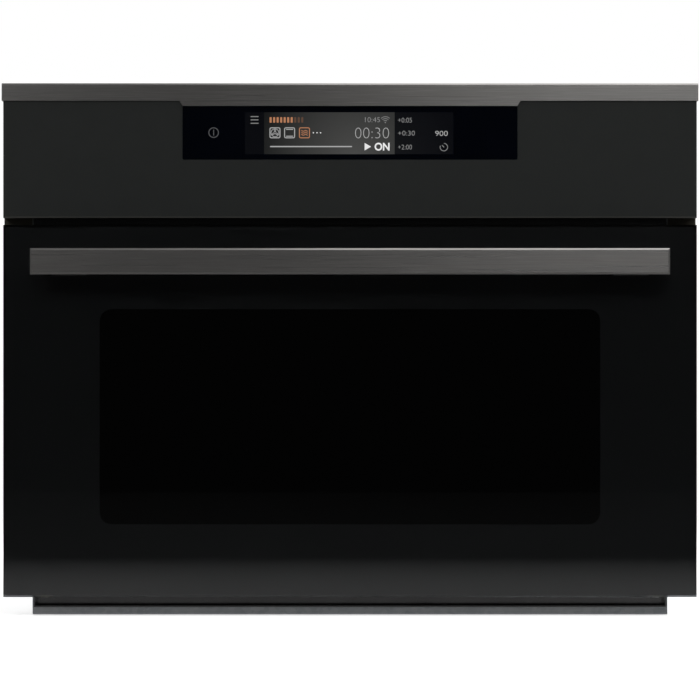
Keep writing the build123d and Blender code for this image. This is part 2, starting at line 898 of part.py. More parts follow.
def fan_motor():
    """Motor behind the oven: front plate on four legs, laminated stator with its coil, rear bearing."""
    half = stator_size / 2
    bearing_back = motor_front + motor_bearing_length
    stack_front = motor_front + 12
    stack_back = stack_front + stator_depth
    bottom = cavity_mid - half
    motor = along_y(block(-half, half, bottom, cavity_mid + half), motor_front, motor_front + 2)
    motor += along_y(octagon(0, cavity_mid, motor_bearing), motor_front, bearing_back)
    stack = block(-half, half, bottom - 16, cavity_mid + half - 4)
    window = block(-half + 10, half - 10, bottom - 6, bottom + 8)
    motor += along_y(stack - window, stack_front, stack_back)
    coil = block(-11, 11, bottom - 20, bottom + 4)
    motor += along_y(coil, stack_front - 5, stack_back + 5)
    motor += along_y(octagon(0, cavity_mid, motor_bearing + 2), stack_back, motor_front + motor_length)
    for x in (-half + 6, half - 6):
        for z in (bottom + 6, cavity_mid + half - 6):
            motor += along_y(hexagon(x, z, motor_leg), liner_back, stack_front)
    bore = disc(0, cavity_mid, shaft_radius + running_clearance)
    return motor - along_y(bore, motor_front, bearing_back)


def heater_ends():
    """Where the ring heater's two legs pass through the back wall, as (x, z)."""
    half_gap = radians((360 - heater_sweep) / 2)
    x, drop = heater_radius * sin(half_gap), heater_radius * cos(half_gap)
    return ((-x, cavity_mid - drop), (x, cavity_mid - drop))


def ring_heater():
    """Tubular heater round the fan wheel, with legs through the back wall and their terminals."""
    points = []
    for step in range(heater_steps + 1):
        angle = radians(270 - (360 - heater_sweep) / 2 - heater_sweep * step / heater_steps)
        points.append((heater_radius * cos(angle), heater_y, cavity_mid + heater_radius * sin(angle)))
    path = Polyline(*points)
    start = Plane(origin=path @ 0, x_dir=(0, 1, 0), z_dir=path % 0)
    ring = sweep(start * RegularPolygon(heater_tube, 6), path, transition=Transition.RIGHT)
    for x, z in heater_ends():
        ring += along_y(hexagon(x, z, heater_tube), heater_y - heater_tube, insulation_back + heater_leg)
    return ring


def grill_tubes():
    """Two quartz heating tubes across the ceiling, held in ceramic ends."""
    tubes = []
    z = cavity_ceiling - grill_drop
    for y in (dome_y - grill_offset, dome_y + grill_offset):
        tube = wire((-grill_half, y, z), (grill_half, y, z), grill_tube_radius)
        end = block(y - 8, y + 8, z - 8, cavity_ceiling, 0)
        tube += both_sides(along_x(end, grill_half - grill_cap, grill_half))
        tubes.append(tube)
    return Compound(children=tubes)


def oven_lamp():
    """Lamp in the ceiling: square glass cover inside the oven, socket above it."""
    half = lamp_half
    cap = along_z(block(-half, half, -half, half), -lamp_rise, 0)
    cap = chamfer(cap.faces().sort_by(Axis.Z)[0].edges(), lamp_bevel)
    half = lamp_socket_half
    socket_top = dome_depth - lamp_socket_drop
    socket = along_z(block(-half, half, -half, half), 0, socket_top)
    terminals = along_z(block(-5, -3, -3, 3) + block(3, 5, -3, 3), socket_top, socket_top + 10)
    return Pos(lamp_x, lamp_y, cavity_ceiling) * (cap + socket + terminals)


def temperature_probe():
    """Rod sensor beside the fan cover, with its flange on the back wall."""
    x, z = probe_x, probe_z
    tip = (x, liner_back_inner - probe_reach, z)
    probe = wire(tip, (x, insulation_back + 8, z), probe_radius)
    return probe + along_y(hexagon(x, z, 7), liner_back_inner - 1.5, liner_back_inner)


def side_rack():
    """Right-hand ladder of wires: two posts against the wall and the rails that carry the shelf."""
    low, high = cavity_floor + rack_end, cavity_ceiling - rack_end
    rack = None
    for y in (rack_front, rack_rear):
        post = wire((post_x, y, low), (post_x, y, high), post_radius)
        rack = post if rack is None else rack + post
        for z in (low + rack_stud_inset, high - rack_stud_inset):
            rack += wire((post_x, y, z), (cavity_half, y, z), rack_stud)
    front, rear = rack_front - rail_overhang, rack_rear + rail_overhang
    for step in range(rail_count):
        z = cavity_floor + rail_low + step * rail_pitch
        rack += wire((rail_x, front, z), (rail_x, rear, z), rail_radius)
        for y in (rack_front, rack_rear):
            rack += wire((rail_x, y, z), (post_x, y, z), rail_tie_radius)
    return rack


def wire_shelf():
    """Welded wire shelf on the lowest rails: a frame of four wires, with bars from front to back."""
    z = cavity_floor + rail_low + rail_radius + shelf_seat + shelf_side
    half = rail_x
    front, rear = rack_front - shelf_front_inset, rack_rear + shelf_rear_inset
    shelf = wire((-half, front, z), (half, front, z), shelf_wire)
    shelf += wire((-half, rear, z), (half, rear, z), shelf_wire)
    for x in (-half, half):
        shelf += wire((x, front - shelf_overhang, z), (x, rear + shelf_overhang, z), shelf_side)
    count = int((half - shelf_bar_margin) // shelf_bar_pitch)
    for step in range(-count, count + 1):
        x = step * shelf_bar_pitch
        shelf += wire((x, front, z), (x, rear, z), shelf_bar)
    return shelf


def glass_tray():
    """Shallow glass tray on the oven floor."""
    half = cavity_half - tray_side_gap
    front, rear = frame_back + tray_end_gap, cover_front - tray_end_gap
    outer = along_z(block(-half, half, front, rear, tray_corner), cavity_floor, cavity_floor + tray_height)
    wall = tray_wall
    inner = block(-half + wall, half - wall, front + wall, rear - wall, tray_corner - wall)
    return outer - along_z(inner, cavity_floor + wall, cavity_floor + tray_height)


# Microwave source


def stirrer_cover():
    """Plate that closes the dome towards the oven, let through by the microwaves."""
    half = dome_radius + stirrer_cover_lap
    plate = block(-half, half, dome_y - half, dome_y + half)
    return along_z(plate, cavity_ceiling - stirrer_cover_wall, cavity_ceiling)


def stirrer():
    """Field stirrer: three pitched vanes on a hub, with the shaft up to its motor."""
    low = cavity_ceiling + stirrer_lift
    wheel = along_z(hexagon(0, 0, stirrer_hub), low, low + 2 * vane_rise)
    reach = stirrer_reach
    vane = polygon((5, -7), (reach, -20), (reach - 6, 16), (5, 7))
    tip = polygon((reach - 10, -19), (reach, -20), (reach - 6, 16), (reach - 12, 14))
    upper = vane_sheet / 2
    vane = Rot(vane_pitch, 0, 0) * (along_z(vane, -upper, upper) + along_z(tip, upper, 4))
    for step in range(vane_count):
        wheel += Rot(0, 0, step * 360 / vane_count) * Pos(0, 0, low + vane_rise) * vane
    shaft = rod((0, 0, low + vane_rise), (0, 0, guide_top + stirrer_motor_height - 4), stirrer_shaft)
    return Pos(0, dome_y, 0) * (wheel + shaft)


def stirrer_motor():
    """Small geared motor on top of the waveguide."""
    high = guide_top + stirrer_motor_height
    reach = stirrer_motor_radius + motor_ear
    motor = along_z(octagon(0, dome_y, stirrer_motor_radius), guide_top, high)
    motor += along_z(block(-reach, reach, dome_y - 5, dome_y + 5), guide_top, guide_top + motor_ear_sheet)
    bore = disc(0, dome_y, stirrer_shaft + running_clearance)
    return motor - along_z(bore, guide_top, high - 3.5)


def waveguide():
    """Rectangular duct from the magnetron to the dome, closed at both ends."""
    half = guide_width / 2
    wall, foot = guide_sheet, guide_foot
    outer = block(-guide_left, guide_right, dome_y - half, dome_y + half)
    inner = block(-guide_left + wall, guide_right - wall, dome_y - half + wall, dome_y + half - wall)
    duct = along_z(outer, deck_top, guide_top) - along_z(inner, deck_top + wall, guide_top - wall)
    base = block(-guide_left - foot, guide_right + foot, dome_y - half - foot, dome_y + half + foot)
    duct += along_z(base - inner, deck_top, deck_top + wall)
    duct -= along_z(feed_outline(), deck_top, deck_top + wall)
    for hole in (
        hexagon(0, dome_y, stirrer_shaft + guide_shaft_gap),
        octagon(tube_x, dome_y, antenna_radius + guide_antenna_gap),
    ):
        duct -= along_z(hole, guide_top - wall, guide_top)
    return duct


def magnetron():
    """Magnetron: yoke, cooling fins round the tube, ring magnets, filter box, antenna into the waveguide."""
    low = guide_top + yoke_lift
    high = low + yoke_height
    half, deep = yoke_width / 2, yoke_depth / 2
    frame = block(tube_x - half, tube_x + half, low, high)
    opening = offset(frame, -yoke_sheet, kind=Kind.INTERSECTION)
    tube = along_y(frame - opening, dome_y - deep, dome_y + deep)
    tube += along_z(octagon(tube_x, dome_y, anode_radius), low, high)
    for start in (low, high - magnet_height):
        tube += along_z(octagon(tube_x, dome_y, magnet_radius), start, start + magnet_height)
    fin_low, fin_high = low + magnet_height + 6, high - magnet_height - 6
    fin = block(tube_x - half + 1, tube_x + half - 1, dome_y - deep + 6, dome_y + deep - 6)
    for step in range(fin_count):
        z = fin_low + step * (fin_high - fin_low) / (fin_count - 1)
        tube += along_z(fin, z - fin_sheet / 2, z + fin_sheet / 2)
    side = tube_x + half
    box = block(side, side + filter_box_width, dome_y - filter_box_half, dome_y + filter_box_half)
    tube += along_z(box, high - filter_box_half, high)
    tube += along_z(hexagon(tube_x, dome_y, anode_radius - 2), guide_top, low)
    return tube + along_z(octagon(tube_x, dome_y, antenna_radius), guide_top - antenna_length, guide_top)


def hv_transformer():
    """High-voltage transformer: shell core, two coils and a foot plate."""
    x, y = power_x, dome_y - 50
    low, high = deck_top + transformer_foot, deck_top + transformer_foot + core_height
    leg = core_half / 3
    core = block(x - core_half, x + core_half, low, high)
    for left in (x - 2 * leg, x + leg):
        core -= block(left, left + leg, low + leg, high - leg)
    unit = along_y(core, y - core_depth / 2, y + core_depth / 2)
    first = low + leg
    coil = block(x - 2 * leg, x + 2 * leg, y - core_depth * 0.75, y + core_depth * 0.75)
    for coil_low in (first, first + coil_height + coil_gap):
        unit += along_z(coil, coil_low, coil_low + coil_height)
    reach, deep = core_half + 10, core_depth / 2 + 4
    return unit + along_z(block(x - reach, x + reach, y - deep, y + deep), deck_top, low)


def hv_capacitor():
    """High-voltage capacitor in its strap, with two terminals."""
    x, y = power_x, dome_y + 76
    high = deck_top + capacitor_height
    half, deep = capacitor_width / 2, capacitor_length / 2
    can = chamfer(block(x - half, x + half, deck_top + 2, high).vertices(), capacitor_bevel)
    unit = along_y(can, y - deep, y + deep)
    unit += along_y(block(x - half - 11, x + half + 11, deck_top, deck_top + 2.5), y - 8, y + 8)
    middle = (deck_top + high) / 2
    for side in (-1, 1):
        left = x + side * 10 - 3
        unit += along_y(block(left, left + 6, middle, middle + 1), y - deep - 10, y - deep)
    return unit


def power_board():
    """Mains board on four stand-offs: relays, capacitors, choke coil and a finned heat sink."""
    left, right = -guide_left - 50, guide_left + 40
    front, rear = frame_back + 22, frame_back + 104
    low = deck_top + standoff
    top = low + board_wall
    board = along_z(block(left, right, front, rear), low, top)
    for x in (left + 7, right - 7):
        for y in (front + 7, rear - 7):
            board += along_z(hexagon(x, y, standoff_radius), deck_top, low)
    for step in range(relay_count):
        x = left + 14 + step * relay_pitch
        board += along_z(block(x, x + 20, rear - 24, rear - 12), top, top + relay_height)
    for x, radius, height in ((right - 28, 11, 30), (right - 54, 9, 26)):
        board += along_z(octagon(x, front + 22, radius), top, top + height)
    board += along_z(block(left + 12, left + 16, front + 10, front + 46), top, top + sink_height)
    for step in range(sink_fins):
        y = front + 12 + step * 8
        board += along_z(block(left + 16, left + 30, y, y + 1.5), top, top + sink_height)
    return board + along_z(block(right - 60, right - 20, rear - 26, rear - 8), top, top + 12)


# Cooling blower


def blower_housing():
    """Scroll round the wheel, with its outlet along the deck and the plates that carry the bearings."""
    y, z = blower_y, blower_z
    shell = Pos(y, z) * RegularPolygon(scroll_radius, scroll_flats)
    ring = shell - offset(shell, -scroll_sheet, kind=Kind.INTERSECTION)
    opening = block(y - scroll_radius - 1, y, z - scroll_radius - 1, z + scroll_radius + 1)
    floor = block(y - scroll_outlet, y, deck_top, deck_top + scroll_sheet)
    tongue_z = deck_top + 26
    tongue = block(y - scroll_outlet, y - blower_radius - 2, tongue_z, tongue_z + scroll_sheet)
    section = (ring - opening) + floor
    side = shell + block(y - scroll_outlet, y, deck_top, tongue_z + scroll_sheet)
    housing = along_x(section, -scroll_half, scroll_half) + along_x(tongue, -scroll_half, scroll_half)
    shaft_hole = disc(y, z, stirrer_shaft + running_clearance)
    plate = both_sides(along_x(side - shaft_hole, scroll_half - scroll_sheet, scroll_half))
    return housing + plate


def blower_wheel():
    """Long wheel of curved blades between end discs, on its shaft."""
    half = scroll_half - scroll_sheet - blower_end_gap
    root, tip = blower_blade_root, blower_radius - 0.8
    bend = (root + tip) / 2
    outline = polygon((root, 0), (bend, -0.8), (tip, 2.2), (tip, 3.0), (bend, 0.1), (root, 0.8))
    blade = extrude(outline, 2 * half)
    wheel = None
    for step in range(blower_blades):
        turned = Rot(0, 0, step * 360 / blower_blades) * blade
        wheel = turned if wheel is None else wheel + turned
    end_disc = RegularPolygon(blower_radius, blower_blades)
    wheel += extrude(end_disc, blower_disc)
    wheel += Pos(0, 0, 2 * half - blower_disc) * extrude(end_disc, blower_disc)
    shaft = Pos(0, 0, -blower_end_gap - scroll_sheet - 3) * extrude(Circle(stirrer_shaft), 2 * half + 36)
    return Pos(-half, blower_y, blower_z) * Rot(0, 90, 0) * (wheel + shaft)


def blower_motor():
    """Shaded-pole motor on the end of the scroll: stator plates, coil and bearing bridge."""
    y, z, left = blower_y, blower_z, scroll_half
    half = pole_half
    stack = block(y - half, y + half, z - half - 4, z + half)
    window = block(y - half + 10, y + half - 10, z - half + 4, z - half + 16)
    motor = along_x(stack - window, left + 4, left + 22)
    motor += along_x(block(y - 12, y + 12, z - half - 7, z - half + 6), left + 1, left + 26)
    motor += along_x(octagon(y, z, 11), left, left + pole_motor_length)
    bore = disc(y, z, stirrer_shaft + running_clearance)
    return motor - along_x(bore, left, left + pole_motor_length - 4)


# Interlock


def interlock_switches():
    """Two switch blocks on the deck, each with the guide bore of its plunger."""
    left, right = hook_x - switch_width / 2, hook_x + switch_width / 2
    top = hook_z + 13
    body = block(left, right, deck_top, top, 0)
    switch = along_y(body, switch_front + plunger_travel, switch_front + plunger_travel + switch_depth)
    foot = along_z(block(left - 10, right, switch_front + 12, switch_front + 26), deck_top, deck_top + 3)
    bore = along_y(disc(hook_x, hook_z, plunger_bore), switch_front, switch_front + plunger_travel + 20)
    tabs = None
    for step in range(3):
        x = left + 3 + step * 5
        tab = block(x, x + 1, top, top + 7)
        blade = along_y(tab, switch_front + 14, switch_front + 19)
        tabs = blade if tabs is None else tabs + blade
    return both_sides(switch + foot + tabs - bore)


def interlock_plunger():
    """Right-hand push rod with its head, which the door's hook holds in."""
    half = plunger_head
    pad = block(hook_x - half, hook_x + half, hook_z - half, hook_z + half)
    head = along_y(pad, head_front, head_front + plunger_head_wall)
    return head + rod((hook_x, head_front + 1, hook_z), (hook_x, switch_front + 22, hook_z), plunger_radius)


# Hinges


def hinge_bracket():
    """Fixed half of the right hinge: nose plate through the frame's slot, in a channel on the base."""
    left, right = hinge_x - hinge_plate / 2, hinge_x + hinge_plate / 2
    channel_rear = frame_back + 130
    channel_top = insulation_bottom - 1.0
    nose = Pos(pivot_y, pivot_z) * RegularPolygon(nose_radius, ear_flats)
    neck = block(pivot_y, frame_back + 40, pivot_z - nose_radius, pivot_z + nose_radius)
    bracket = along_x(nose + neck, left, right)
    outer = block(hinge_x - hinge_offset + 3, hinge_x + hinge_offset - 3, casing_sheet, channel_top)
    inner = block(hinge_x - hinge_offset + 4.5, hinge_x + hinge_offset - 4.5, casing_sheet + 1.5, channel_top)
    bracket += along_y(outer - inner, frame_back, channel_rear)
    bracket += along_y(outer, frame_back, frame_back + 1.5)
    bore = disc(pivot_y, pivot_z, pin_radius + bearing_clearance)
    return bracket - along_x(bore, left, right)


def hinge_arm():
    """Moving half of the right hinge: two ears on the pin and a web against the door pan."""
    gap = hinge_plate / 2 + ear_side_gap
    top = pivot_z + arm_height
    ear = Pos(pivot_y, pivot_z) * RegularPolygon(ear_radius, ear_flats) + polygon(
        (pivot_y - ear_radius, pivot_z),
        (pan_front, pivot_z),
        (pan_front, top),
        (pan_front - 5, top),
        (pivot_y - ear_radius, top - 25),
    )
    arm = along_x(ear, hinge_x - gap - ear_sheet, hinge_x - gap)
    arm += along_x(ear, hinge_x + gap, hinge_x + gap + ear_sheet)
    web = block(hinge_x - gap - ear_sheet, hinge_x + gap + ear_sheet, pan_bottom, top)
    arm += along_y(web, pan_front - 1.5, pan_front)
    bore = disc(pivot_y, pivot_z, pin_radius + pin_fit)
    return arm - along_x(bore, hinge_x - gap - ear_sheet, hinge_x + gap + ear_sheet)


def hinge_pins():
    """The two hinge pins, which stand a little out of the ears."""
    reach = hinge_plate / 2 + ear_side_gap + ear_sheet + pin_head
    return both_sides(along_x(disc(pivot_y, pivot_z, pin_radius), hinge_x - reach, hinge_x + reach))


# Door


def door_glass():
    """Outer glass over the whole door, with a ground edge all round its front."""
    pane = along_y(block(-door_half, door_half, door_bottom, door_top), front_y, glass_back)
    return chamfer(pane.faces().sort_by(Axis.Y)[0].edges(), door_glass_edge)


def door_pan():
    """Pressed steel inner wall of the door: turned top edge, hook windows and a stiffening bead."""
    sheet = along_y(block(-pan_half, pan_half, pan_bottom, pan_top), pan_front, pan_back)
    turn = block(-profile_inner + 6, profile_inner - 6, pan_top - pan_sheet, pan_top)
    sheet += along_y(turn, pan_front - 7, pan_front)
    half = profile_inner - 2
    bead = block(-half, half, plug_top + 1.5, plug_top + 4.5)
    return sheet + along_y(bead, pan_front - 1.2, pan_front)


def choke_fingers(start, end, place):
    """Slots spaced evenly between start and end, each placed by the given function."""
    count = int((end - start) // choke_pitch)
    first = (start + end - (count - 1) * choke_pitch) / 2
    return [place(first + step * choke_pitch) for step in range(count)]


def plug_outline(inset):
    """The part of the door that enters the frame, seen from the front and drawn in by inset."""
    return block(-plug_half + inset, plug_half - inset, plug_bottom + inset, plug_top - inset)


def mouth_outline(inset):
    """The oven mouth with square corners, drawn in by inset."""
    return block(-cavity_half + inset, cavity_half - inset, cavity_floor + inset, cavity_ceiling - inset)


def door_choke():
    """Microwave choke: a channel round the oven mouth whose outer wall ends in a slotted lip."""
    wall = choke_sheet
    outer = plug_outline(0)
    mouth, mouth_in, ledge_hole = mouth_outline(0), mouth_outline(wall), mouth_outline(wall + glass_lap)
    glass_front = lip_back - outer_glass
    choke = along_y(outer - mouth_in, pan_back, pan_back + wall)
    choke += along_y(outer - plug_outline(wall), pan_back, lip_back)
    choke += along_y(outer - plug_outline(wall + choke_lip), lip_back - wall, lip_back)
    choke += along_y(mouth - mouth_in, pan_back, lip_back - 0.5)
    choke += along_y(mouth_in - ledge_hole, glass_front - wall, glass_front)
    low, reach = lip_back - choke_slot_depth, choke_lip - 3
    half = choke_slot / 2

    def upright(z):
        return along_y(block(plug_half - reach, plug_half + 1, z - half, z + half), low, lip_back)

    def level(x):
        under = block(x - half, x + half, plug_bottom - 1, plug_bottom + reach)
        over = block(x - half, x + half, plug_top - reach, plug_top + 1)
        return along_y(under, low, lip_back) + along_y(over, low, lip_back)

    inset = choke_lip + choke_slot
    for slot in choke_fingers(plug_bottom + inset, plug_top - inset, upright):
        choke -= both_sides(slot)
    for slot in choke_fingers(-plug_half + inset, plug_half - inset, level):
        choke -= slot
    return choke


def choke_cover():
    """Plastic ring that closes the choke and holds the inner glass."""
    return along_y(plug_outline(0) - mouth_outline(choke_sheet + glass_lap), lip_back, plug_back)


def door_inner_glass():
    """Inner pane, held in the choke's ledge by the plastic ring."""
    return along_y(mouth_outline(choke_sheet + glass_clearance), lip_back - outer_glass, lip_back)


def door_middle_glass():
    """Second pane, clipped to the front of the pan."""
    return along_y(mouth_outline(middle_glass_margin), pan_front - outer_glass, pan_front)


def door_side_profiles():
    """Channels between the outer glass and the pan at both sides, with the low back corner cut away."""
    wall = profile_wall
    channel = block(profile_inner, door_half, glass_back, pan_front)
    inside = block(profile_inner - 1, door_half - wall, glass_back + wall, pan_front - wall)
    low = door_bottom + 2
    profile = along_z(channel - inside, low, pan_top)
    corner = polygon((pan_front, low), (pan_front - profile_corner, low), (pan_front, low + profile_corner))
    return both_sides(profile - along_x(corner, profile_inner, door_half))


def door_top_trim():
    """Moulded strip along the top of the door, with slots that let air through the door."""
    section = block(glass_back, pan_front, pan_top, door_top)
    hollow = block(glass_back + 2, pan_front - 2, pan_top, door_top - 2)
    strip = along_x(section - hollow, -door_half, door_half)
    for side in (-1, 1):
        x = side * (door_half - 1)
        strip += along_x(section, x - 1, x + 1)
    for step in range(14):
        x = (step - 6.5) * 34
        slot = block(x - 12, x + 12, glass_back + 4, pan_front - 4)
        strip -= along_z(slot, door_top - 2, door_top)
    return strip


def door_bottom_trim():
    """Channel along the bottom of the door between the hinges, lapped over the pan."""
    half = hinge_x - hinge_plate - ear_sheet - 3
    section = polygon(
        (glass_back, door_bottom + 2),
        (pan_front - 4, door_bottom + 2),
        (pan_front, door_bottom + 6),
        (pan_front, pan_bottom + 8),
        (pan_front - 1.2, pan_bottom + 8),
        (pan_front - 1.2, door_bottom + 6.5),
        (pan_front - 4.5, door_bottom + 3.2),
        (glass_back + 1.2, door_bottom + 3.2),
        (glass_back + 1.2, door_bottom + 12),
        (glass_back, door_bottom + 12),
    )
    return along_x(section, -half, half)


def door_handle():
    """Flat bar with bevelled front edges on two waisted posts that stand on the glass."""
    low, high = handle_z - handle_height / 2, handle_z + handle_height / 2
    bar = along_y(block(-handle_half, handle_half, low, high), handle_front, handle_back)
    bar = chamfer(bar.faces().sort_by(Axis.Y)[0].edges(), handle_edge)
    back = Plane.XZ.offset(-handle_back)
    middle = Plane.XZ.offset(-(handle_back + front_y) / 2)
    foot = Plane.XZ.offset(-front_y)
    centre = Pos(handle_post_x, handle_z)
    wide = centre * Rectangle(handle_foot, handle_height)
    waist = centre * Rectangle(handle_waist, handle_height - 5)
    post = loft([back * wide, middle * waist]) + loft([middle * waist, foot * wide])
    return bar + both_sides(post)


def latch_hooks():
    """Two steel hooks on the back of the pan that pass through the frame and press the switches."""
    low, high = hook_z - hook_height / 2, hook_z + hook_height / 2
    tab = block(pan_back, pan_back + 1.5, plug_top + 1, pan_top - 1)
    hook = polygon(
        (pan_back, low + 2),
        (hook_reach - 8, low + 2),
        (hook_reach - 6, low - 1),
        (hook_reach, low + 1),
        (hook_reach, high - 1.5),
        (hook_reach - 2, high),
        (pan_back, high),
    )
    half = hook_width / 2
    return both_sides(
        along_x(tab, hook_x - half - 4, hook_x + half + 4) + along_x(hook, hook_x - half, hook_x + half)
    )


pieces = {
    "control_fascia": control_fascia(),
    "top_trim": top_trim(),
    "display_glass": display_glass(),
    "display_module": display_module(),
    "control_board": control_board(),
    "panel_carrier": panel_carrier(),
    "base_plate": base_plate(),
    "side_panel_right": side_panel(),
    "side_panel_left": other_side(side_panel()),
    "top_cover": top_cover(),
    "rear_cover": rear_cover(),
    "front_frame": front_frame(),
    "mounting_flange_right": mounting_flange(),
    "mounting_flange_left": other_side(mounting_flange()),
    "cord_gland": cord_gland(),
    "terminal_block": terminal_block(),
    "cavity_liner": cavity_liner(),
    "insulation_blanket": insulation_blanket(),
    "deck_plate": deck_plate(),
    "fan_cover": fan_cover(),
    "convection_fan": convection_fan(),
    "fan_motor": fan_motor(),
    "ring_heater": ring_heater(),
    "grill_tubes": grill_tubes(),
    "oven_lamp": oven_lamp(),
    "temperature_probe": temperature_probe(),
    "side_rack_right": side_rack(),
    "side_rack_left": other_side(side_rack()),
    "wire_shelf": wire_shelf(),
    "glass_tray": glass_tray(),
    "stirrer_cover": stirrer_cover(),
    "stirrer": stirrer(),
    "stirrer_motor": stirrer_motor(),
    "waveguide": waveguide(),
    "magnetron": magnetron(),
    "hv_transformer": hv_transformer(),
    "hv_capacitor": hv_capacitor(),
    "power_board": power_board(),
    "blower_housing": blower_housing(),
    "blower_wheel": blower_wheel(),
    "blower_motor": blower_motor(),
    "interlock_switches": interlock_switches(),
    "interlock_plunger_right": interlock_plunger(),
    "interlock_plunger_left": other_side(interlock_plunger()),
    "hinge_bracket_right": hinge_bracket(),
    "hinge_bracket_left": other_side(hinge_bracket()),
    "hinge_arm_right": hinge_arm(),
    "hinge_arm_left": other_side(hinge_arm()),
    "hinge_pins": hinge_pins(),
    "door_glass": door_glass(),
    "door_pan": door_pan(),
    "door_choke": door_choke(),
    "choke_cover": choke_cover(),
    "door_inner_glass": door_inner_glass(),
    "door_middle_glass": door_middle_glass(),
    "door_side_profiles": door_side_profiles(),
    "door_top_trim": door_top_trim(),
    "door_bottom_trim": door_bottom_trim(),
    "door_handle": door_handle(),
    "latch_hooks": latch_hooks(),
}

for name, piece in pieces.items():
    export_step(piece, f"parts/{name}.step")
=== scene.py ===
import math

import bpy
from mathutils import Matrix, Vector


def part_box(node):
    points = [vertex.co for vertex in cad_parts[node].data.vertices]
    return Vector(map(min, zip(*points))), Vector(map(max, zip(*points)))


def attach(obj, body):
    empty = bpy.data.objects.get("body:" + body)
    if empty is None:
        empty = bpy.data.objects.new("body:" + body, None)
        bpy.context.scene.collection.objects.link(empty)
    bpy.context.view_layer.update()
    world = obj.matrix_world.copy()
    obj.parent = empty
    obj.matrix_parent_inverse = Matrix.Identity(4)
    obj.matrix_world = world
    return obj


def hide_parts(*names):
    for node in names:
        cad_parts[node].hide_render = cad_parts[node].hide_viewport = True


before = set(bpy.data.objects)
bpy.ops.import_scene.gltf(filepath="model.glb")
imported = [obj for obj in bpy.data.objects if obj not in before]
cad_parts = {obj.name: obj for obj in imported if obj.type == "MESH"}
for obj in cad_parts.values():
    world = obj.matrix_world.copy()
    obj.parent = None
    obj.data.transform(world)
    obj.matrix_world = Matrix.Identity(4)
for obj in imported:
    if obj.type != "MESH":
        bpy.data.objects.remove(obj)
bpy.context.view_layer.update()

# Camera. The photograph looks straight at the front with a long lens, and the front's 595 mm fill its width.
# The lens keeps that scale. The camera stands at about half the oven's height, so that all of it is in view.
photo_width = 0.5978
camera_stand_off = 3.2
camera_height = 0.2271
eye = bpy.data.objects.new("camera", bpy.data.cameras.new("camera"))
bpy.context.scene.collection.objects.link(eye)
eye.location = (0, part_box("top_trim")[0].y - camera_stand_off, camera_height)
eye.rotation_euler = (math.pi / 2, 0, 0)
eye.data.lens = eye.data.sensor_width * camera_stand_off / photo_width
bpy.context.scene.camera = eye
bpy.context.scene.view_settings.view_transform = "Standard"


# Studio light. A large softbox stands high in front on the right, its left edge a little right of the middle,
# because the photograph's brushed band goes from dark to light there. One overhead on the right draws the
# bevel's bright line. The others stand at both sides and behind, for the sides and the back of the casing.
def softbox(name, place, aim, width, height, watts):
    lamp = bpy.data.lights.new(name, "AREA")
    lamp.shape = "RECTANGLE"
    lamp.size, lamp.size_y, lamp.energy = width, height, watts
    stand = bpy.data.objects.new(name, lamp)
    bpy.context.scene.collection.objects.link(stand)
    stand.location = place
    stand.rotation_euler = (Vector(aim) - Vector(place)).to_track_quat("-Z", "Y").to_euler()


softbox("key_softbox", place=(0.55, -2.9, 1.95), aim=(0.1, 0, 0.3), width=0.78, height=1.5, watts=28.5)
softbox("side_softbox", place=(2.6, -1.4, 1.9), aim=(0.1, 0, 0.3), width=1.5, height=1.5, watts=50)
softbox("fill_softbox", place=(-1.32, -2.9, 1.8), aim=(-0.1, 0, 0.3), width=1.4, height=1.2, watts=28)
softbox("top_softbox", place=(0.9, 0.3, 2.5), aim=(0.9, 0.3, 0), width=2.0, height=2.0, watts=47)
softbox("back_softbox", place=(-0.6, 2.6, 1.7), aim=(0, 0.5, 0.2), width=1.4, height=1.2, watts=34)


# Surroundings. White where the camera looks past the oven. For light and reflections it is a grey room that
# is pale above and dark in front, as behind the photographer, which keeps the black display glass black.
def node(tree, kind, inputs=(), **settings):
    """Adds a shader node. Each input takes a value or another node's output."""
    fresh = tree.nodes.new("ShaderNode" + kind)
    for name, value in settings.items():
        setattr(fresh, name, value)
    for name, value in dict(inputs).items():
        if isinstance(value, bpy.types.NodeSocket):
            tree.links.new(value, fresh.inputs[name])
        else:
            fresh.inputs[name].default_value = value
    return fresh


def ranged(tree, pattern, start, end, low=0.0, high=1.0, curve="LINEAR"):
    """A pattern's values from start to end, spread from low to high."""
    inputs = {"Value": pattern, "From Min": start, "From Max": end, "To Min": low, "To Max": high}
    return node(tree, "MapRange", inputs, interpolation_type=curve).outputs[0]


foot_strength, roof_strength, front_share = 0.22, 0.62, 0.07
room = bpy.data.worlds.new("studio")
bpy.context.scene.world = room
room.use_nodes = True
walls = room.node_tree
direction = node(walls, "SeparateXYZ", {0: node(walls, "TexCoord").outputs["Generated"]}).outputs
by_height = ranged(walls, direction["Z"], start=-0.1, end=0.9, low=foot_strength, high=roof_strength)
by_depth = ranged(walls, direction["Y"], start=-0.97, end=-0.7, low=front_share)
grey_room = node(walls, "Math", {0: by_height, 1: by_depth}, operation="MULTIPLY").outputs[0]
camera_ray = node(walls, "LightPath").outputs["Is Camera Ray"]
strength = node(walls, "Mix", {"Factor": camera_ray, "A": grey_room, "B": 1.0}).outputs["Result"]
walls.links.new(strength, walls.nodes["Background"].inputs["Strength"])
walls.nodes["Background"].inputs["Color"].default_value = (1, 1, 1, 1)

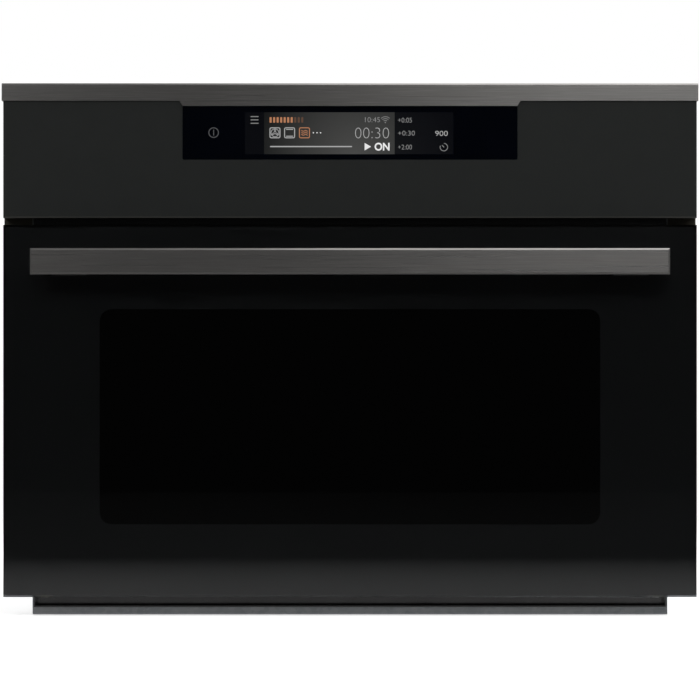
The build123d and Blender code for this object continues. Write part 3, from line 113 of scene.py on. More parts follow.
# Floor. A pale sheet under the oven. It keeps the oven's shadow, and what it adds for the camera alone brings
# its lit part to the white of the background, in full a metre or two away, so that no edge of it shows. For
# reflections it is dimmer, and it grows dark towards the camera, as the room does.
floor_width, floor_depth, floor_middle, foot_gap = 16, 12, 3.2, 0.0005
lift_for_camera, mirror_loss = 0.5, 0.4
dark_sheet, pale_sheet = (0.01, 0.01, 0.01, 1), (0.8, 0.8, 0.8, 1)
white_from, white_full, white_centre = 0.6, 1.7, (0, 0.25, 0)
bpy.ops.object.select_all(action="DESELECT")
bpy.ops.mesh.primitive_plane_add(size=1, location=(0, floor_middle, -foot_gap))
floor = bpy.context.object
floor.name = "floor"
floor.scale = (floor_width, floor_depth, 1)
bpy.ops.object.transform_apply(location=True, scale=True, rotation=False)
floor_pale = bpy.data.materials.new("floor_pale")
floor_pale.use_nodes = True
ground = floor_pale.node_tree
sheet = ground.nodes["Principled BSDF"]
sheet.inputs["Roughness"].default_value = 0.9
sheet.inputs["Specular IOR Level"].default_value = 0.1
sheet.inputs["Emission Color"].default_value = (1, 1, 1, 1)
ray = node(ground, "LightPath").outputs
lift = node(ground, "Math", {0: ray["Is Camera Ray"], 1: lift_for_camera}, operation="MULTIPLY")
ground.links.new(lift.outputs[0], sheet.inputs["Emission Strength"])
spot_of_floor = node(ground, "TexCoord").outputs["Object"]
depth = node(ground, "SeparateXYZ", {0: spot_of_floor}).outputs["Y"]
fading = ranged(ground, depth, start=-1.6, end=-0.1, curve="SMOOTHERSTEP")
mirrored = {0: ray["Is Glossy Ray"], 1: -mirror_loss, 2: fading}
dimmed = node(ground, "Math", mirrored, operation="MULTIPLY_ADD").outputs[0]
either = node(ground, "Math", {0: dimmed, 1: ray["Is Camera Ray"]}, operation="MAXIMUM", use_clamp=True)
shades = {"Factor": either.outputs[0], "A": dark_sheet, "B": pale_sheet}
ground.links.new(node(ground, "Mix", shades, data_type="RGBA").outputs["Result"], sheet.inputs["Base Color"])
distance = node(ground, "VectorMath", {0: spot_of_floor, 1: white_centre}, operation="DISTANCE")
distant = ranged(ground, distance.outputs["Value"], white_from, white_full, curve="SMOOTHERSTEP")
seen_white = node(ground, "Math", {0: distant, 1: ray["Is Camera Ray"]}, operation="MULTIPLY").outputs[0]
background = node(ground, "Emission").outputs[0]
blend = node(ground, "MixShader", {0: seen_white, 1: sheet.outputs[0], 2: background})
ground.links.new(blend.outputs[0], ground.nodes["Material Output"].inputs["Surface"])
floor.data.materials.append(floor_pale)


# Casing. Base plate, side panels, lid, rear cover and the deck over the oven are pressed from hot-dip
# galvanised sheet, 1 mm thick, and screwed together. The zinc shows its spangle under a dull film.
def tone(red, green, blue):
    """A colour as read off a picture, 0 to 255, as the shader takes it."""
    parts = [x / 255 for x in (red, green, blue)]
    return [x / 12.92 if x <= 0.04045 else ((x + 0.055) / 1.055) ** 2.4 for x in parts] + [1.0]


class Finish:
    """A material made of a shader and patterns that read the piece's own coordinates."""

    def __init__(self, name, colour, roughness, metallic=0.0, **sockets):
        self.material = bpy.data.materials.new(name)
        self.material.use_nodes = True
        self.tree = self.material.node_tree
        self.shader = self.tree.nodes["Principled BSDF"]
        self.colour, self.roughness = colour, roughness
        self.set(**{"Base Color": colour, "Roughness": roughness, "Metallic": metallic})
        self.set(**{name.replace("_", " "): value for name, value in sockets.items()})
        self.place = self.add("TexCoord").outputs["Object"]
        self.height = None

    def set(self, **sockets):
        for name, value in sockets.items():
            self.shader.inputs[name].default_value = value

    def add(self, kind, inputs=(), **settings):
        return node(self.tree, kind, inputs, **settings)

    def spread(self, stretch):
        """The piece's coordinates, scaled along each axis."""
        return self.add("Mapping", {"Vector": self.place, "Scale": stretch}).outputs[0]

    def noise(self, scale, stretch=(1, 1, 1), detail=3.0):
        inputs = {"Vector": self.spread(stretch), "Scale": scale, "Detail": detail}
        return self.add("TexNoise", inputs).outputs["Fac"]

    def patches(self, scale):
        """Flat patches, each with three chance values of its own, named as colours."""
        cells = self.add("TexVoronoi", {"Vector": self.place, "Scale": scale})
        return self.add("SeparateColor", {0: cells.outputs["Color"]}).outputs

    def lattice(self, scale, stretch):
        """Distances from the nearest point of a square lattice."""
        inputs = {"Vector": self.spread(stretch), "Scale": scale, "Randomness": 0.0}
        return self.add("TexVoronoi", inputs).outputs["Distance"]

    def along(self, axis):
        """How far along an axis each place of the piece lies."""
        return self.add("SeparateXYZ", {0: self.place}).outputs[axis]

    def mixed(self, pattern, low, high, start, end):
        """A colour that goes from low to high with the pattern."""
        factor = ranged(self.tree, pattern, start, end)
        return self.add("Mix", {"Factor": factor, "A": low, "B": high}, data_type="RGBA").outputs["Result"]

    def tint(self, pattern, other, start=0.3, end=0.7):
        """Mixes the colour so far with another where the pattern is high."""
        colour = self.shader.inputs["Base Color"]
        before = colour.links[0].from_socket if colour.is_linked else self.colour
        self.tree.links.new(self.mixed(pattern, before, other, start, end), colour)
        return self

    def roughen(self, pattern, spread, start=0.3, end=0.7):
        rough = ranged(self.tree, pattern, start, end, self.roughness - spread, self.roughness + spread)
        self.tree.links.new(rough, self.shader.inputs["Roughness"])
        return self

    def emboss(self, pattern, depth, strength=1.0):
        """Raises the surface by the pattern, depth metres from low to high."""
        inputs = {"Distance": depth, "Strength": strength, "Height": pattern}
        if self.height:
            inputs["Normal"] = self.height
        self.height = self.add("Bump", inputs).outputs[0]
        self.tree.links.new(self.height, self.shader.inputs["Normal"])
        return self


def finish_nodes(finish, *names):
    """Gives CAD nodes a finish in place of their plain one."""
    for name in names:
        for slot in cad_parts[name].material_slots:
            slot.material = finish.material


zinc = Finish("galvanised_sheet", tone(138, 141, 143), roughness=0.56, metallic=0.55, Specular_IOR_Level=0.3)
spangle = zinc.patches(240)
zinc.tint(spangle["Red"], tone(126, 130, 133), 0.1, 0.9)
zinc.tint(zinc.noise(9, detail=4), tone(141, 143, 144), 0.4, 0.8)
zinc.roughen(spangle["Green"], 0.07, 0, 1).emboss(spangle["Blue"], 0.00001, 0.3)
finish_nodes(zinc, "base_plate", "side_panel_left", "side_panel_right")
finish_nodes(zinc, "top_cover", "rear_cover", "deck_plate")


# Casing screws. Pan-headed, with a cross recess, zinc plated. One is modelled and copied to the edges of the
# casing, to the fan cover's corners and to the front frame, each turned to stand on its sheet.
def copied(shape):
    """A copy of a shape with its own mesh."""
    bpy.ops.object.select_all(action="DESELECT")
    shape.select_set(True)
    bpy.context.view_layer.objects.active = shape
    bpy.ops.object.duplicate(linked=False)
    return bpy.context.object


screw_steel = Finish("screw_steel", tone(176, 174, 166), roughness=0.3, metallic=1.0)
screw_steel.tint(screw_steel.noise(400), tone(150, 150, 148)).roughen(screw_steel.noise(900), 0.08)
head_radius, head_height, head_round = 0.0037, 0.0022, 0.0013
recess_width, recess_reach, recess_depth = 0.0009, 0.0021, 0.001
bpy.ops.object.select_all(action="DESELECT")
head_middle = (0, 0, head_height / 2)
bpy.ops.mesh.primitive_cylinder_add(vertices=20, radius=head_radius, depth=head_height, location=head_middle)
first_screw = bpy.context.object
bpy.ops.object.transform_apply(location=True)
bpy.ops.object.mode_set(mode="EDIT")
bpy.ops.mesh.select_mode(type="FACE")
bpy.ops.mesh.select_all(action="DESELECT")
bpy.ops.object.mode_set(mode="OBJECT")
for face in first_screw.data.polygons:
    face.select = face.normal.z > 0.9
bpy.ops.object.mode_set(mode="EDIT")
bpy.ops.mesh.bevel(offset=head_round, segments=3)
bpy.ops.object.mode_set(mode="OBJECT")
for turn in (0, 90):
    bpy.ops.object.select_all(action="DESELECT")
    bpy.ops.mesh.primitive_cube_add(size=1, location=(0, 0, head_height))
    blade = bpy.context.object
    blade.scale = (2 * recess_reach, recess_width, 2 * recess_depth)
    blade.rotation_euler = (0, 0, math.radians(turn))
    recess = first_screw.modifiers.new("recess", "BOOLEAN")
    recess.object, recess.solver = blade, "EXACT"
    bpy.context.view_layer.objects.active = first_screw
    bpy.ops.object.modifier_apply(modifier="recess")
    bpy.data.objects.remove(blade)
first_screw.data.materials.append(screw_steel.material)


def screw_on(name, places, towards):
    """Copies of the screw standing on a sheet at the given places, facing one way."""
    turn = Vector(towards).to_track_quat("Z", "Y").to_euler()
    for count, place in enumerate(places):
        screw = copied(first_screw)
        screw.name = screw.data.name = f"{name}_{count + 1}"
        screw.location, screw.rotation_euler = place, turn
        bpy.ops.object.transform_apply(location=True, rotation=True)
        bpy.ops.object.shade_smooth_by_angle(angle=math.radians(35))
        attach(screw, "oven")


rear_y, roof_z, wall_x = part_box("rear_cover")[1].y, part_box("top_cover")[1].z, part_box("side_panel_right")[1].x
outer_column, inner_column, low_row, high_row = 0.266, 0.09, 0.007, 0.433
rear_rows = (low_row, 0.14, 0.29, high_row)
depth_places = (0.06, 0.28, 0.5)
rear_places = [(x, rear_y, z) for x in (-outer_column, outer_column) for z in rear_rows]
screw_on("rear_screw", rear_places, (0, 1, 0))
rear_edge_places = [(x, rear_y, z) for x in (-inner_column, inner_column) for z in (low_row, high_row)]
screw_on("rear_edge_screw", rear_edge_places, (0, 1, 0))
lid_places = [(x, y, roof_z) for x in (-outer_column, outer_column) for y in depth_places]
screw_on("lid_screw", lid_places, (0, 0, 1))
for side, name in ((1, "right"), (-1, "left")):
    side_places = [(side * wall_x, y, z) for z in (low_row, high_row) for y in depth_places]
    screw_on("side_screw_" + name, side_places, (side, 0, 0))
cover_low, cover_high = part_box("fan_cover")
cover_middle_z = (cover_low.z + cover_high.z) / 2
cover_wall, corner_inset = 0.0008, 0.003
cover_places = []
for x in (cover_low.x, cover_high.x):
    for z in (cover_low.z, cover_high.z):
        inner_x = x - math.copysign(corner_inset, x)
        inner_z = z - math.copysign(corner_inset, z - cover_middle_z)
        cover_places.append((inner_x, cover_high.y - cover_wall, inner_z))
screw_on("fan_cover_screw", cover_places, (0, -1, 0))
frame_wall, frame_row, frame_columns = 0.0012, 0.3275, (-0.2, -0.07, 0.07, 0.2)
recess_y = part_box("front_frame")[1].y - frame_wall
screw_on("frame_screw", [(x, recess_y, frame_row) for x in frame_columns], (0, -1, 0))
bpy.data.objects.remove(first_screw)

# Mounting flanges. Steel angles welded to the side panels, zinc plated and passivated to a dark bronze,
# whose faces meet the cabinet and take its four screws.
bronze = Finish("flange_plating", tone(52, 50, 46), roughness=0.42, metallic=0.8)
bronze.tint(bronze.noise(45, detail=5), tone(66, 62, 52)).roughen(bronze.noise(180), 0.08)
bronze.emboss(bronze.noise(1400), 0.00001, 0.4)
finish_nodes(bronze, "mounting_flange_left", "mounting_flange_right")

# Front frame. Deep-drawn steel tray that the door closes into, enamelled black, with the latch and hinge
# slots and the cooling slots over the oven mouth cut before enamelling.
black_enamel = Finish("frame_enamel", tone(26, 27, 28), roughness=0.2, Coat_Weight=0.4, Coat_Roughness=0.08)
black_enamel.tint(black_enamel.noise(1100, detail=1), tone(50, 52, 54), 0.66, 0.72)
black_enamel.roughen(black_enamel.noise(25), 0.04).emboss(black_enamel.noise(90, detail=1), 0.00004, 0.3)
finish_nodes(black_enamel, "front_frame")

# Cord gland and terminal block. A black polyamide bushing clipped into the rear cover, and a cream moulding
# with screw terminals behind it, for the mains cord that is fitted when the oven is built in.
black_moulding = Finish("black_moulding", tone(30, 30, 31), roughness=0.48)
black_moulding.tint(black_moulding.noise(400, detail=4), tone(42, 42, 43))
black_moulding.roughen(black_moulding.noise(120), 0.06)
black_moulding.emboss(black_moulding.noise(3200, detail=1), 0.00003, 0.5)
finish_nodes(black_moulding, "cord_gland")
cream_moulding = Finish("cream_moulding", tone(214, 206, 186), roughness=0.45, Subsurface_Weight=0.05)
cream_moulding.tint(cream_moulding.noise(60), tone(202, 192, 168)).roughen(cream_moulding.noise(200), 0.06)
cream_moulding.emboss(cream_moulding.noise(1800, detail=1), 0.00002, 0.4)
finish_nodes(cream_moulding, "terminal_block")

# Oven box and fan cover. Steel pressings under a glossy charcoal enamel with fine pale specks, fired on, so
# that the coat pools a little at the rounded corners.
oven_enamel = Finish("oven_enamel", tone(76, 79, 86), roughness=0.2, Coat_Weight=0.6, Coat_Roughness=0.06)
specks = oven_enamel.add("TexVoronoi", {"Vector": oven_enamel.place, "Scale": 520}).outputs["Distance"]
oven_enamel.tint(oven_enamel.noise(14), tone(68, 71, 78)).tint(specks, tone(124, 130, 140), 0.11, 0.05)
oven_enamel.roughen(oven_enamel.noise(40), 0.04).emboss(oven_enamel.noise(120, detail=1), 0.00005, 0.3)
finish_nodes(oven_enamel, "cavity_liner", "fan_cover")

# Insulation. Mineral wool blanket wound round the oven box, straw-brown, with its fibres lying along the
# sheet. It keeps the oven's heat from the casing and the deck.
wool = Finish("mineral_wool", tone(176, 158, 116), roughness=0.95, Sheen_Weight=0.3)
fibre = wool.noise(1, stretch=(120, 900, 900), detail=6)
wool.tint(fibre, tone(138, 118, 78)).tint(wool.noise(18), tone(196, 182, 146)).emboss(fibre, 0.0012, 1.0)
finish_nodes(wool, "insulation_blanket")

# Convection fan, its motor and ring heater. The wheel is pressed from stainless sheet with ten welded blades
# on a hub, the motor a laminated stator, and the heater a sheathed tube, burnt dark, bent round the wheel.
satin_steel = Finish("satin_steel", tone(172, 172, 170), roughness=0.28, metallic=1.0)
rub = satin_steel.noise(1, stretch=(300, 300, 1600), detail=3)
satin_steel.tint(rub, tone(148, 148, 147)).tint(satin_steel.noise(22), tone(170, 160, 140), 0.5, 0.8)
satin_steel.roughen(rub, 0.07).emboss(rub, 0.00001, 0.4)
finish_nodes(satin_steel, "convection_fan", "temperature_probe")
laminations = Finish("laminations", tone(92, 95, 100), roughness=0.42, metallic=0.9)
stack = {"Vector": laminations.place, "Scale": 330}
sheets = laminations.add("TexWave", stack, bands_direction="Y", wave_profile="SAW").outputs["Fac"]
laminations.tint(sheets, tone(58, 60, 64), 0.7, 1.0)
laminations.tint(laminations.noise(90), tone(104, 88, 72), 0.55, 0.8)
laminations.emboss(sheets, 0.0001, 0.6)
finish_nodes(laminations, "fan_motor", "hv_transformer", "stirrer_motor", "blower_motor")
burnt_sheath = Finish("burnt_sheath", tone(62, 58, 56), roughness=0.5, metallic=0.8)
burnt_sheath.tint(burnt_sheath.noise(35, detail=4), tone(92, 78, 66))
burnt_sheath.tint(burnt_sheath.noise(240), tone(46, 46, 52))
burnt_sheath.roughen(burnt_sheath.noise(90), 0.1).emboss(burnt_sheath.noise(900), 0.00004, 0.6)
finish_nodes(burnt_sheath, "ring_heater")

# Grill tubes and lamp. Milky quartz tubes with the heating coil showing inside, held in ceramic ends, and a
# pressed glass cover over the lamp, frosted inside.
coil_end, ceramic_start = 0.153, 0.156
quartz = Finish("milky_quartz", tone(206, 204, 198), roughness=0.22, Coat_Weight=0.5, Coat_Roughness=0.06)
winding = {"Vector": quartz.place, "Scale": 110, "Distortion": 1.5}
coil = quartz.add("TexWave", winding, bands_direction="X").outputs["Fac"]
from_middle = quartz.add("Math", {0: quartz.along("X")}, operation="ABSOLUTE").outputs[0]
in_tube = ranged(quartz.tree, from_middle, coil_end, ceramic_start, 1, 0)
coil_in_tube = quartz.add("Math", {0: in_tube, 1: coil}, operation="MULTIPLY").outputs[0]
quartz.tint(coil_in_tube, tone(128, 112, 100), 0.45, 0.95).tint(quartz.noise(70), tone(190, 186, 178))
quartz.roughen(quartz.noise(160), 0.05)
finish_nodes(quartz, "grill_tubes")
frosted = Finish("frosted_glass", tone(226, 228, 224), roughness=0.3, Coat_Weight=1.0, Coat_Roughness=0.04)
prisms = frosted.add("TexWave", {"Vector": frosted.place, "Scale": 130}, bands_direction="X").outputs["Fac"]
frosted.tint(frosted.noise(40), tone(206, 210, 206)).emboss(prisms, 0.0004, 0.6)
finish_nodes(frosted, "oven_lamp")


# Side racks. Three rails a side, of steel wire welded by short ties to two posts, which hang on the wall by
# four flat-headed studs, all chromed, with a little haze at the welds. Each rail's ends are bent in towards
# the wall, so that the shelf slides on easily.
def bent_wire(runs, radius, bend=0.0):
    """A round wire along straight runs, its corners bent and its ends closed."""
    bpy.ops.object.select_all(action="DESELECT")
    bpy.ops.mesh.primitive_plane_add(size=0.001, location=runs[0])
    bpy.ops.object.transform_apply(location=True)
    bpy.ops.object.mode_set(mode="EDIT")
    bpy.ops.mesh.select_mode(type="VERT")
    bpy.ops.mesh.select_all(action="SELECT")
    bpy.ops.mesh.merge(type="CENTER")
    for start, end in zip(runs, runs[1:]):
        step = [b - a for a, b in zip(start, end)]
        bpy.ops.mesh.extrude_region_move(TRANSFORM_OT_translate={"value": step})
    bpy.ops.mesh.select_all(action="SELECT")
    if bend:
        bpy.ops.mesh.bevel(offset=bend, segments=5, affect="VERTICES")
    bpy.ops.object.mode_set(mode="OBJECT")
    bpy.ops.object.convert(target="CURVE")
    wire = bpy.context.object
    wire.data.bevel_depth, wire.data.bevel_resolution, wire.data.use_fill_caps = radius, 4, True
    bpy.ops.object.convert(target="MESH")
    bpy.ops.object.shade_smooth_by_angle(angle=math.radians(50))
    return bpy.context.object


def joined(name, shapes, finish):
    """Joins shapes into one named piece with its finish."""
    bpy.ops.object.select_all(action="DESELECT")
    for shape in shapes:
        shape.select_set(True)
    bpy.context.view_layer.objects.active = shapes[0]
    if len(shapes) > 1:
        bpy.ops.object.join()
    piece = bpy.context.object
    piece.name = piece.data.name = name
    piece.data.materials.clear()
    piece.data.materials.append(finish.material)
    return piece


chrome = Finish("chromed_wire", tone(205, 206, 208), roughness=0.12, metallic=1.0)
chrome.tint(chrome.noise(60, detail=4), tone(188, 186, 180), 0.5, 0.8).roughen(chrome.noise(220), 0.05)
chrome.emboss(chrome.noise(700), 0.00001, 0.5)
finish_nodes(chrome, "side_rack_left", "side_rack_right")
rack_low, rack_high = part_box("side_rack_right")
post_radius, rail_radius, tie_radius, stud_radius = 0.003, 0.0025, 0.0022, 0.005
post_inset, stud_inset, stud_sink = 0.012, 0.01, 0.001
rail_turn, rail_turn_in, rail_bend = 0.006, 0.004, 0.003
first_rail_over_floor, rail_pitch, rack_over_floor = 0.045, 0.05, 0.018
rack_back_x = rack_high.x
post_x, rail_x = rack_back_x - post_radius, rack_low.x + rail_radius
post_places = (rack_low.y + post_inset, rack_high.y - post_inset)
first_rail_z = rack_low.z - rack_over_floor + first_rail_over_floor
for side, name in ((1, "right"), (-1, "left")):
    rack_wires = []
    for y in post_places:
        post = [(side * post_x, y, z) for z in (rack_low.z, rack_high.z)]
        rack_wires.append(bent_wire(post, post_radius))
        for z in (rack_low.z + stud_inset, rack_high.z - stud_inset):
            stud = [(side * (post_x - stud_sink), y, z), (side * rack_back_x, y, z)]
            rack_wires.append(bent_wire(stud, stud_radius))
    for step in range(3):
        z = first_rail_z + rail_pitch * step
        rail = [
            (side * (rail_x + rail_turn_in), rack_low.y, z),
            (side * rail_x, rack_low.y + rail_turn, z),
            (side * rail_x, rack_high.y - rail_turn, z),
            (side * (rail_x + rail_turn_in), rack_high.y, z),
        ]
        rack_wires.append(bent_wire(rail, rail_radius, rail_bend))
        for y in post_places:
            tie = [(side * rail_x, y, z), (side * post_x, y, z)]
            rack_wires.append(bent_wire(tie, tie_radius))
    rack = joined("side_rack_wires_" + name, rack_wires, chrome)
    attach(rack, "oven")
    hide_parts("side_rack_" + name)

# Wire shelf. Bars from front to back, welded on a cross wire at each end, in a frame whose two heavier side
# wires run on the lowest rails. It is chromed as the racks are.
finish_nodes(chrome, "wire_shelf")
shelf_low, shelf_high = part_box("wire_shelf")
side_radius, cross_radius, cross_inset = 0.0032, 0.003, 0.004
bar_radius, bar_pitch, bar_count, bar_lift = 0.002, 0.018, 21, 0.0008
shelf_z = (shelf_low.z + shelf_high.z) / 2
side_x = shelf_high.x - side_radius
cross_places = (shelf_low.y + cross_inset, shelf_high.y - cross_inset)
shelf_wires = [bent_wire([(-side_x, y, shelf_z), (side_x, y, shelf_z)], cross_radius) for y in cross_places]
for x in (-side_x, side_x):
    side_wire = [(x, y, shelf_z) for y in (shelf_low.y, shelf_high.y)]
    shelf_wires.append(bent_wire(side_wire, side_radius))
first_x = -(bar_count // 2) * bar_pitch
first_bar = bent_wire([(first_x, y, shelf_z + bar_lift) for y in cross_places], bar_radius)
shelf_wires.append(first_bar)
for step in range(1, bar_count):
    next_bar = copied(first_bar)
    next_bar.location = (step * bar_pitch, 0, 0)
    bpy.ops.object.transform_apply(location=True)
    shelf_wires.append(next_bar)
shelf = joined("wire_shelf_wires", shelf_wires, chrome)
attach(shelf, "wire_shelf")
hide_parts("wire_shelf")

# Glass tray and inner panes. Borosilicate glass, pressed for the tray that stands on the oven's floor and
# flat for the door's two inner panes, clear, with a faint green cast and a slight waviness.
clear_glass = Finish("clear_glass", tone(236, 243, 240), roughness=0.02, Transmission_Weight=1.0, IOR=1.47)
clear_glass.roughen(clear_glass.noise(30, detail=4), 0.01)
clear_glass.emboss(clear_glass.noise(8, detail=1), 0.0001, 0.08)
clear_glass.tint(clear_glass.noise(9), tone(226, 238, 234))
finish_nodes(clear_glass, "glass_tray", "door_inner_glass", "door_middle_glass")

# Stirrer. Mica plate that closes the dome in the ceiling, the aluminium wheel with pitched vanes that turns
# above it, and the steel waveguide that brings the microwaves across from the magnetron.
mica = Finish("mica_sheet", tone(186, 176, 150), roughness=0.4, Coat_Weight=0.3, Coat_Roughness=0.2)
flake = mica.patches(140)
mica.tint(flake["Red"], tone(150, 136, 106), 0, 1).tint(mica.noise(300), tone(206, 200, 182))
mica.roughen(flake["Green"], 0.12, 0, 1).emboss(flake["Blue"], 0.00003, 0.6)
finish_nodes(mica, "stirrer_cover")
aluminium = Finish("raw_aluminium", tone(198, 200, 203), roughness=0.35, metallic=1.0)
aluminium.tint(aluminium.noise(1, stretch=(60, 60, 900), detail=4), tone(176, 178, 182))
aluminium.roughen(aluminium.noise(110), 0.08).emboss(aluminium.noise(500), 0.00001, 0.5)
finish_nodes(aluminium, "stirrer", "hv_capacitor")
plated_steel = Finish("plated_steel", tone(182, 180, 170), roughness=0.33, metallic=0.95)
plated_steel.tint(plated_steel.noise(28, detail=5), tone(158, 158, 160))
plated_steel.roughen(plated_steel.noise(200), 0.08).emboss(plated_steel.noise(900), 0.00001, 0.4)
finish_nodes(plated_steel, "waveguide", "magnetron")

# Boards. The mains board on the deck and the control board with the touch fields behind the display are green
# glass-fibre laminate with copper tracks under the lacquer. Both stand on short posts.
laminate = Finish("board_laminate", tone(30, 84, 50), roughness=0.35, Coat_Weight=0.4, Coat_Roughness=0.15)
pattern = {"Vector": laminate.spread((1, 0.7, 1)), "Scale": 160}
tracks = laminate.add("TexBrick", pattern).outputs["Fac"]
laminate.tint(tracks, tone(62, 122, 72), 0.2, 0.8)
laminate.tint(laminate.noise(500, detail=1), tone(150, 150, 140), 0.66, 0.7)
laminate.roughen(laminate.noise(150), 0.08).emboss(tracks, 0.00005, 0.5)
finish_nodes(laminate, "power_board", "control_board")

# Cooling blower and switch gear. Glass-filled black mouldings for the scroll, its wheel and the switch
# holders, the carrier behind the panel and the ring over the choke; the plungers are pale acetal.
glass_filled = Finish("glass_filled", tone(34, 35, 37), roughness=0.55)
glass_filled.tint(glass_filled.noise(1, stretch=(900, 120, 900), detail=4), tone(52, 53, 55), 0.5, 0.8)
glass_filled.roughen(glass_filled.noise(140), 0.07)
glass_filled.emboss(glass_filled.noise(2400, detail=1), 0.00004, 0.6)
finish_nodes(glass_filled, "blower_housing", "blower_wheel", "interlock_switches")
finish_nodes(glass_filled, "panel_carrier", "choke_cover")
acetal = Finish("pale_acetal", tone(226, 224, 214), roughness=0.35, Subsurface_Weight=0.1)
acetal.tint(acetal.noise(80), tone(212, 208, 194)).roughen(acetal.noise(300), 0.06)
acetal.emboss(acetal.noise(1500, detail=1), 0.00001, 0.4)
finish_nodes(acetal, "interlock_plunger_left", "interlock_plunger_right")

# Hinges and latch. Thick zinc plated steel. The brackets reach through the frame's slots, the arms turn on
# their pins and carry the door pan, and the hooks on the pan's back press the switches.
plate_steel = Finish("hinge_plate", tone(150, 148, 140), roughness=0.36, metallic=1.0)
plate_steel.tint(plate_steel.noise(40, detail=5), tone(172, 164, 138)).roughen(plate_steel.noise(160), 0.09)
plate_steel.emboss(plate_steel.noise(700), 0.00002, 0.5)
finish_nodes(plate_steel, "hinge_bracket_left", "hinge_bracket_right", "hinge_arm_left", "hinge_arm_right")
finish_nodes(plate_steel, "hinge_pins", "latch_hooks")

# Door pan and choke. Steel sheet enamelled black. Behind the window the pan is pierced with fine holes that pass
# light and stop the microwaves.
# They are not cut but painted, as near-black dots all over the pan: painted shade, the dark oven seen through
# them.
pierced = Finish("pierced_pan", tone(38, 39, 41), roughness=0.35, metallic=0.3)
hole_shade_dots = pierced.lattice(420, (1, 0.02, 1))
# Painted shade: near-black dots where the holes are, for the dark oven behind them.
pierced.tint(pierced.noise(60), tone(46, 47, 49)).tint(hole_shade_dots, tone(3, 3, 4), 0.32, 0.26)
pierced.roughen(pierced.noise(90), 0.06)
finish_nodes(pierced, "door_pan")
choke_enamel = Finish("choke_enamel", tone(58, 60, 62), roughness=0.3, metallic=0.2)
choke_enamel.tint(choke_enamel.noise(50), tone(70, 72, 74)).roughen(choke_enamel.noise(130), 0.07)
choke_enamel.emboss(choke_enamel.noise(300), 0.00002, 0.5)
finish_nodes(choke_enamel, "door_choke")

# Door trims and outer glass. Black channels at the sides and along the bottom and a slotted moulding along
# the top close the door between its pan and the outer pane, which is toughened glass with a grey tint.
extrusion = Finish("black_extrusion", tone(30, 31, 32), roughness=0.4, metallic=0.2)
extrusion.tint(extrusion.noise(1, stretch=(900, 900, 20), detail=3), tone(40, 41, 42))
extrusion.roughen(extrusion.noise(200), 0.05)
extrusion.emboss(extrusion.noise(1, stretch=(1600, 1600, 40), detail=2), 0.00001, 0.5)
finish_nodes(extrusion, "door_side_profiles", "door_top_trim", "door_bottom_trim")
tinted_glass = Finish("tinted_glass", tone(120, 124, 126), roughness=0.02, Transmission_Weight=1.0, IOR=1.5)
tinted_glass.roughen(tinted_glass.noise(20, detail=4), 0.008)
tinted_glass.emboss(tinted_glass.noise(4, detail=1), 0.0001, 0.05)
tinted_glass.tint(tinted_glass.noise(5), tone(112, 117, 120))
finish_nodes(tinted_glass, "door_glass")

# Black print. Ceramic ink fired onto the back of the outer pane hides the door's frame and hinges, and leaves
# a window with rounded corners over the oven mouth.
glass_low, glass_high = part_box("door_glass")
ink_edge, ink_wall, ink_sink, cut_reach = 0.0015, 0.00003, 0.00001, 0.001
window_half, window_low, window_high, window_corner = 0.214, 0.078, 0.262, 0.01
ink_back = glass_high.y - ink_sink


def flat_block(left, right, low, high, front, back):
    """A thin upright block between its limits, left in object mode."""
    bpy.ops.object.select_all(action="DESELECT")
    middle = ((left + right) / 2, (front + back) / 2, (low + high) / 2)
    bpy.ops.mesh.primitive_cube_add(size=1, location=middle)
    shape = bpy.context.object
    shape.scale = (right - left, back - front, high - low)
    bpy.ops.object.transform_apply(location=True, scale=True)
    return shape


def round_corners(shape, radius):
    """Rounds the edges that run from front to back."""
    bpy.ops.object.mode_set(mode="EDIT")
    bpy.ops.mesh.select_mode(type="EDGE")
    bpy.ops.mesh.select_all(action="DESELECT")
    bpy.ops.object.mode_set(mode="OBJECT")
    for edge in shape.data.edges:
        ends = [shape.data.vertices[end].co for end in edge.vertices]
        run = ends[1] - ends[0]
        edge.select = abs(run.y) > 0.99 * run.length
    bpy.ops.object.mode_set(mode="EDIT")
    bpy.ops.mesh.bevel(offset=radius, segments=6)
    bpy.ops.object.mode_set(mode="OBJECT")


window = flat_block(
    -window_half, window_half, window_low, window_high, ink_back - cut_reach, ink_back + cut_reach
)
round_corners(window, window_corner)
ink = flat_block(
    glass_low.x + ink_edge, glass_high.x - ink_edge, glass_low.z + ink_edge, glass_high.z - ink_edge,
    ink_back - ink_wall, ink_back,
)
ink.name = ink.data.name = "door_print"
opening = ink.modifiers.new("window", "BOOLEAN")
opening.object, opening.solver = window, "EXACT"
bpy.ops.object.modifier_apply(modifier="window")
bpy.data.objects.remove(window)
ceramic_ink = Finish("ceramic_ink", tone(5, 5, 6), roughness=0.35)
ceramic_ink.tint(ceramic_ink.noise(600, detail=2), tone(8, 8, 9)).roughen(ceramic_ink.noise(120), 0.05)
ink.data.materials.append(ceramic_ink.material)
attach(ink, "door")

# Control fascia. Folded steel sheet with a matte black powder coat, screwed to the plastic carrier behind it.
# The coat has a fine even grain and hardly any gloss. A paler band along the lower fold is a painted highlight,
# the light that the rounded edge catches from below.
fold_foot, highlight_full_height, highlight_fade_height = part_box("control_fascia")[0].z, 0.0005, 0.0012
powder_black = Finish("powder_black", tone(17, 19, 18), roughness=0.62, Specular_IOR_Level=0.15)
powder_black.tint(powder_black.noise(900, detail=2), tone(20, 22, 21))
# Painted highlight: a paler band at the foot of the fascia, where the lower fold would reflect the bright ground.
powder_black.tint(powder_black.along("Z"), tone(52, 51, 49), fold_foot + highlight_fade_height, fold_foot + highlight_full_height)
powder_black.roughen(powder_black.noise(60), 0.05)
powder_black.emboss(powder_black.noise(2600, detail=1), 0.00003, 0.5)
finish_nodes(powder_black, "control_fascia")

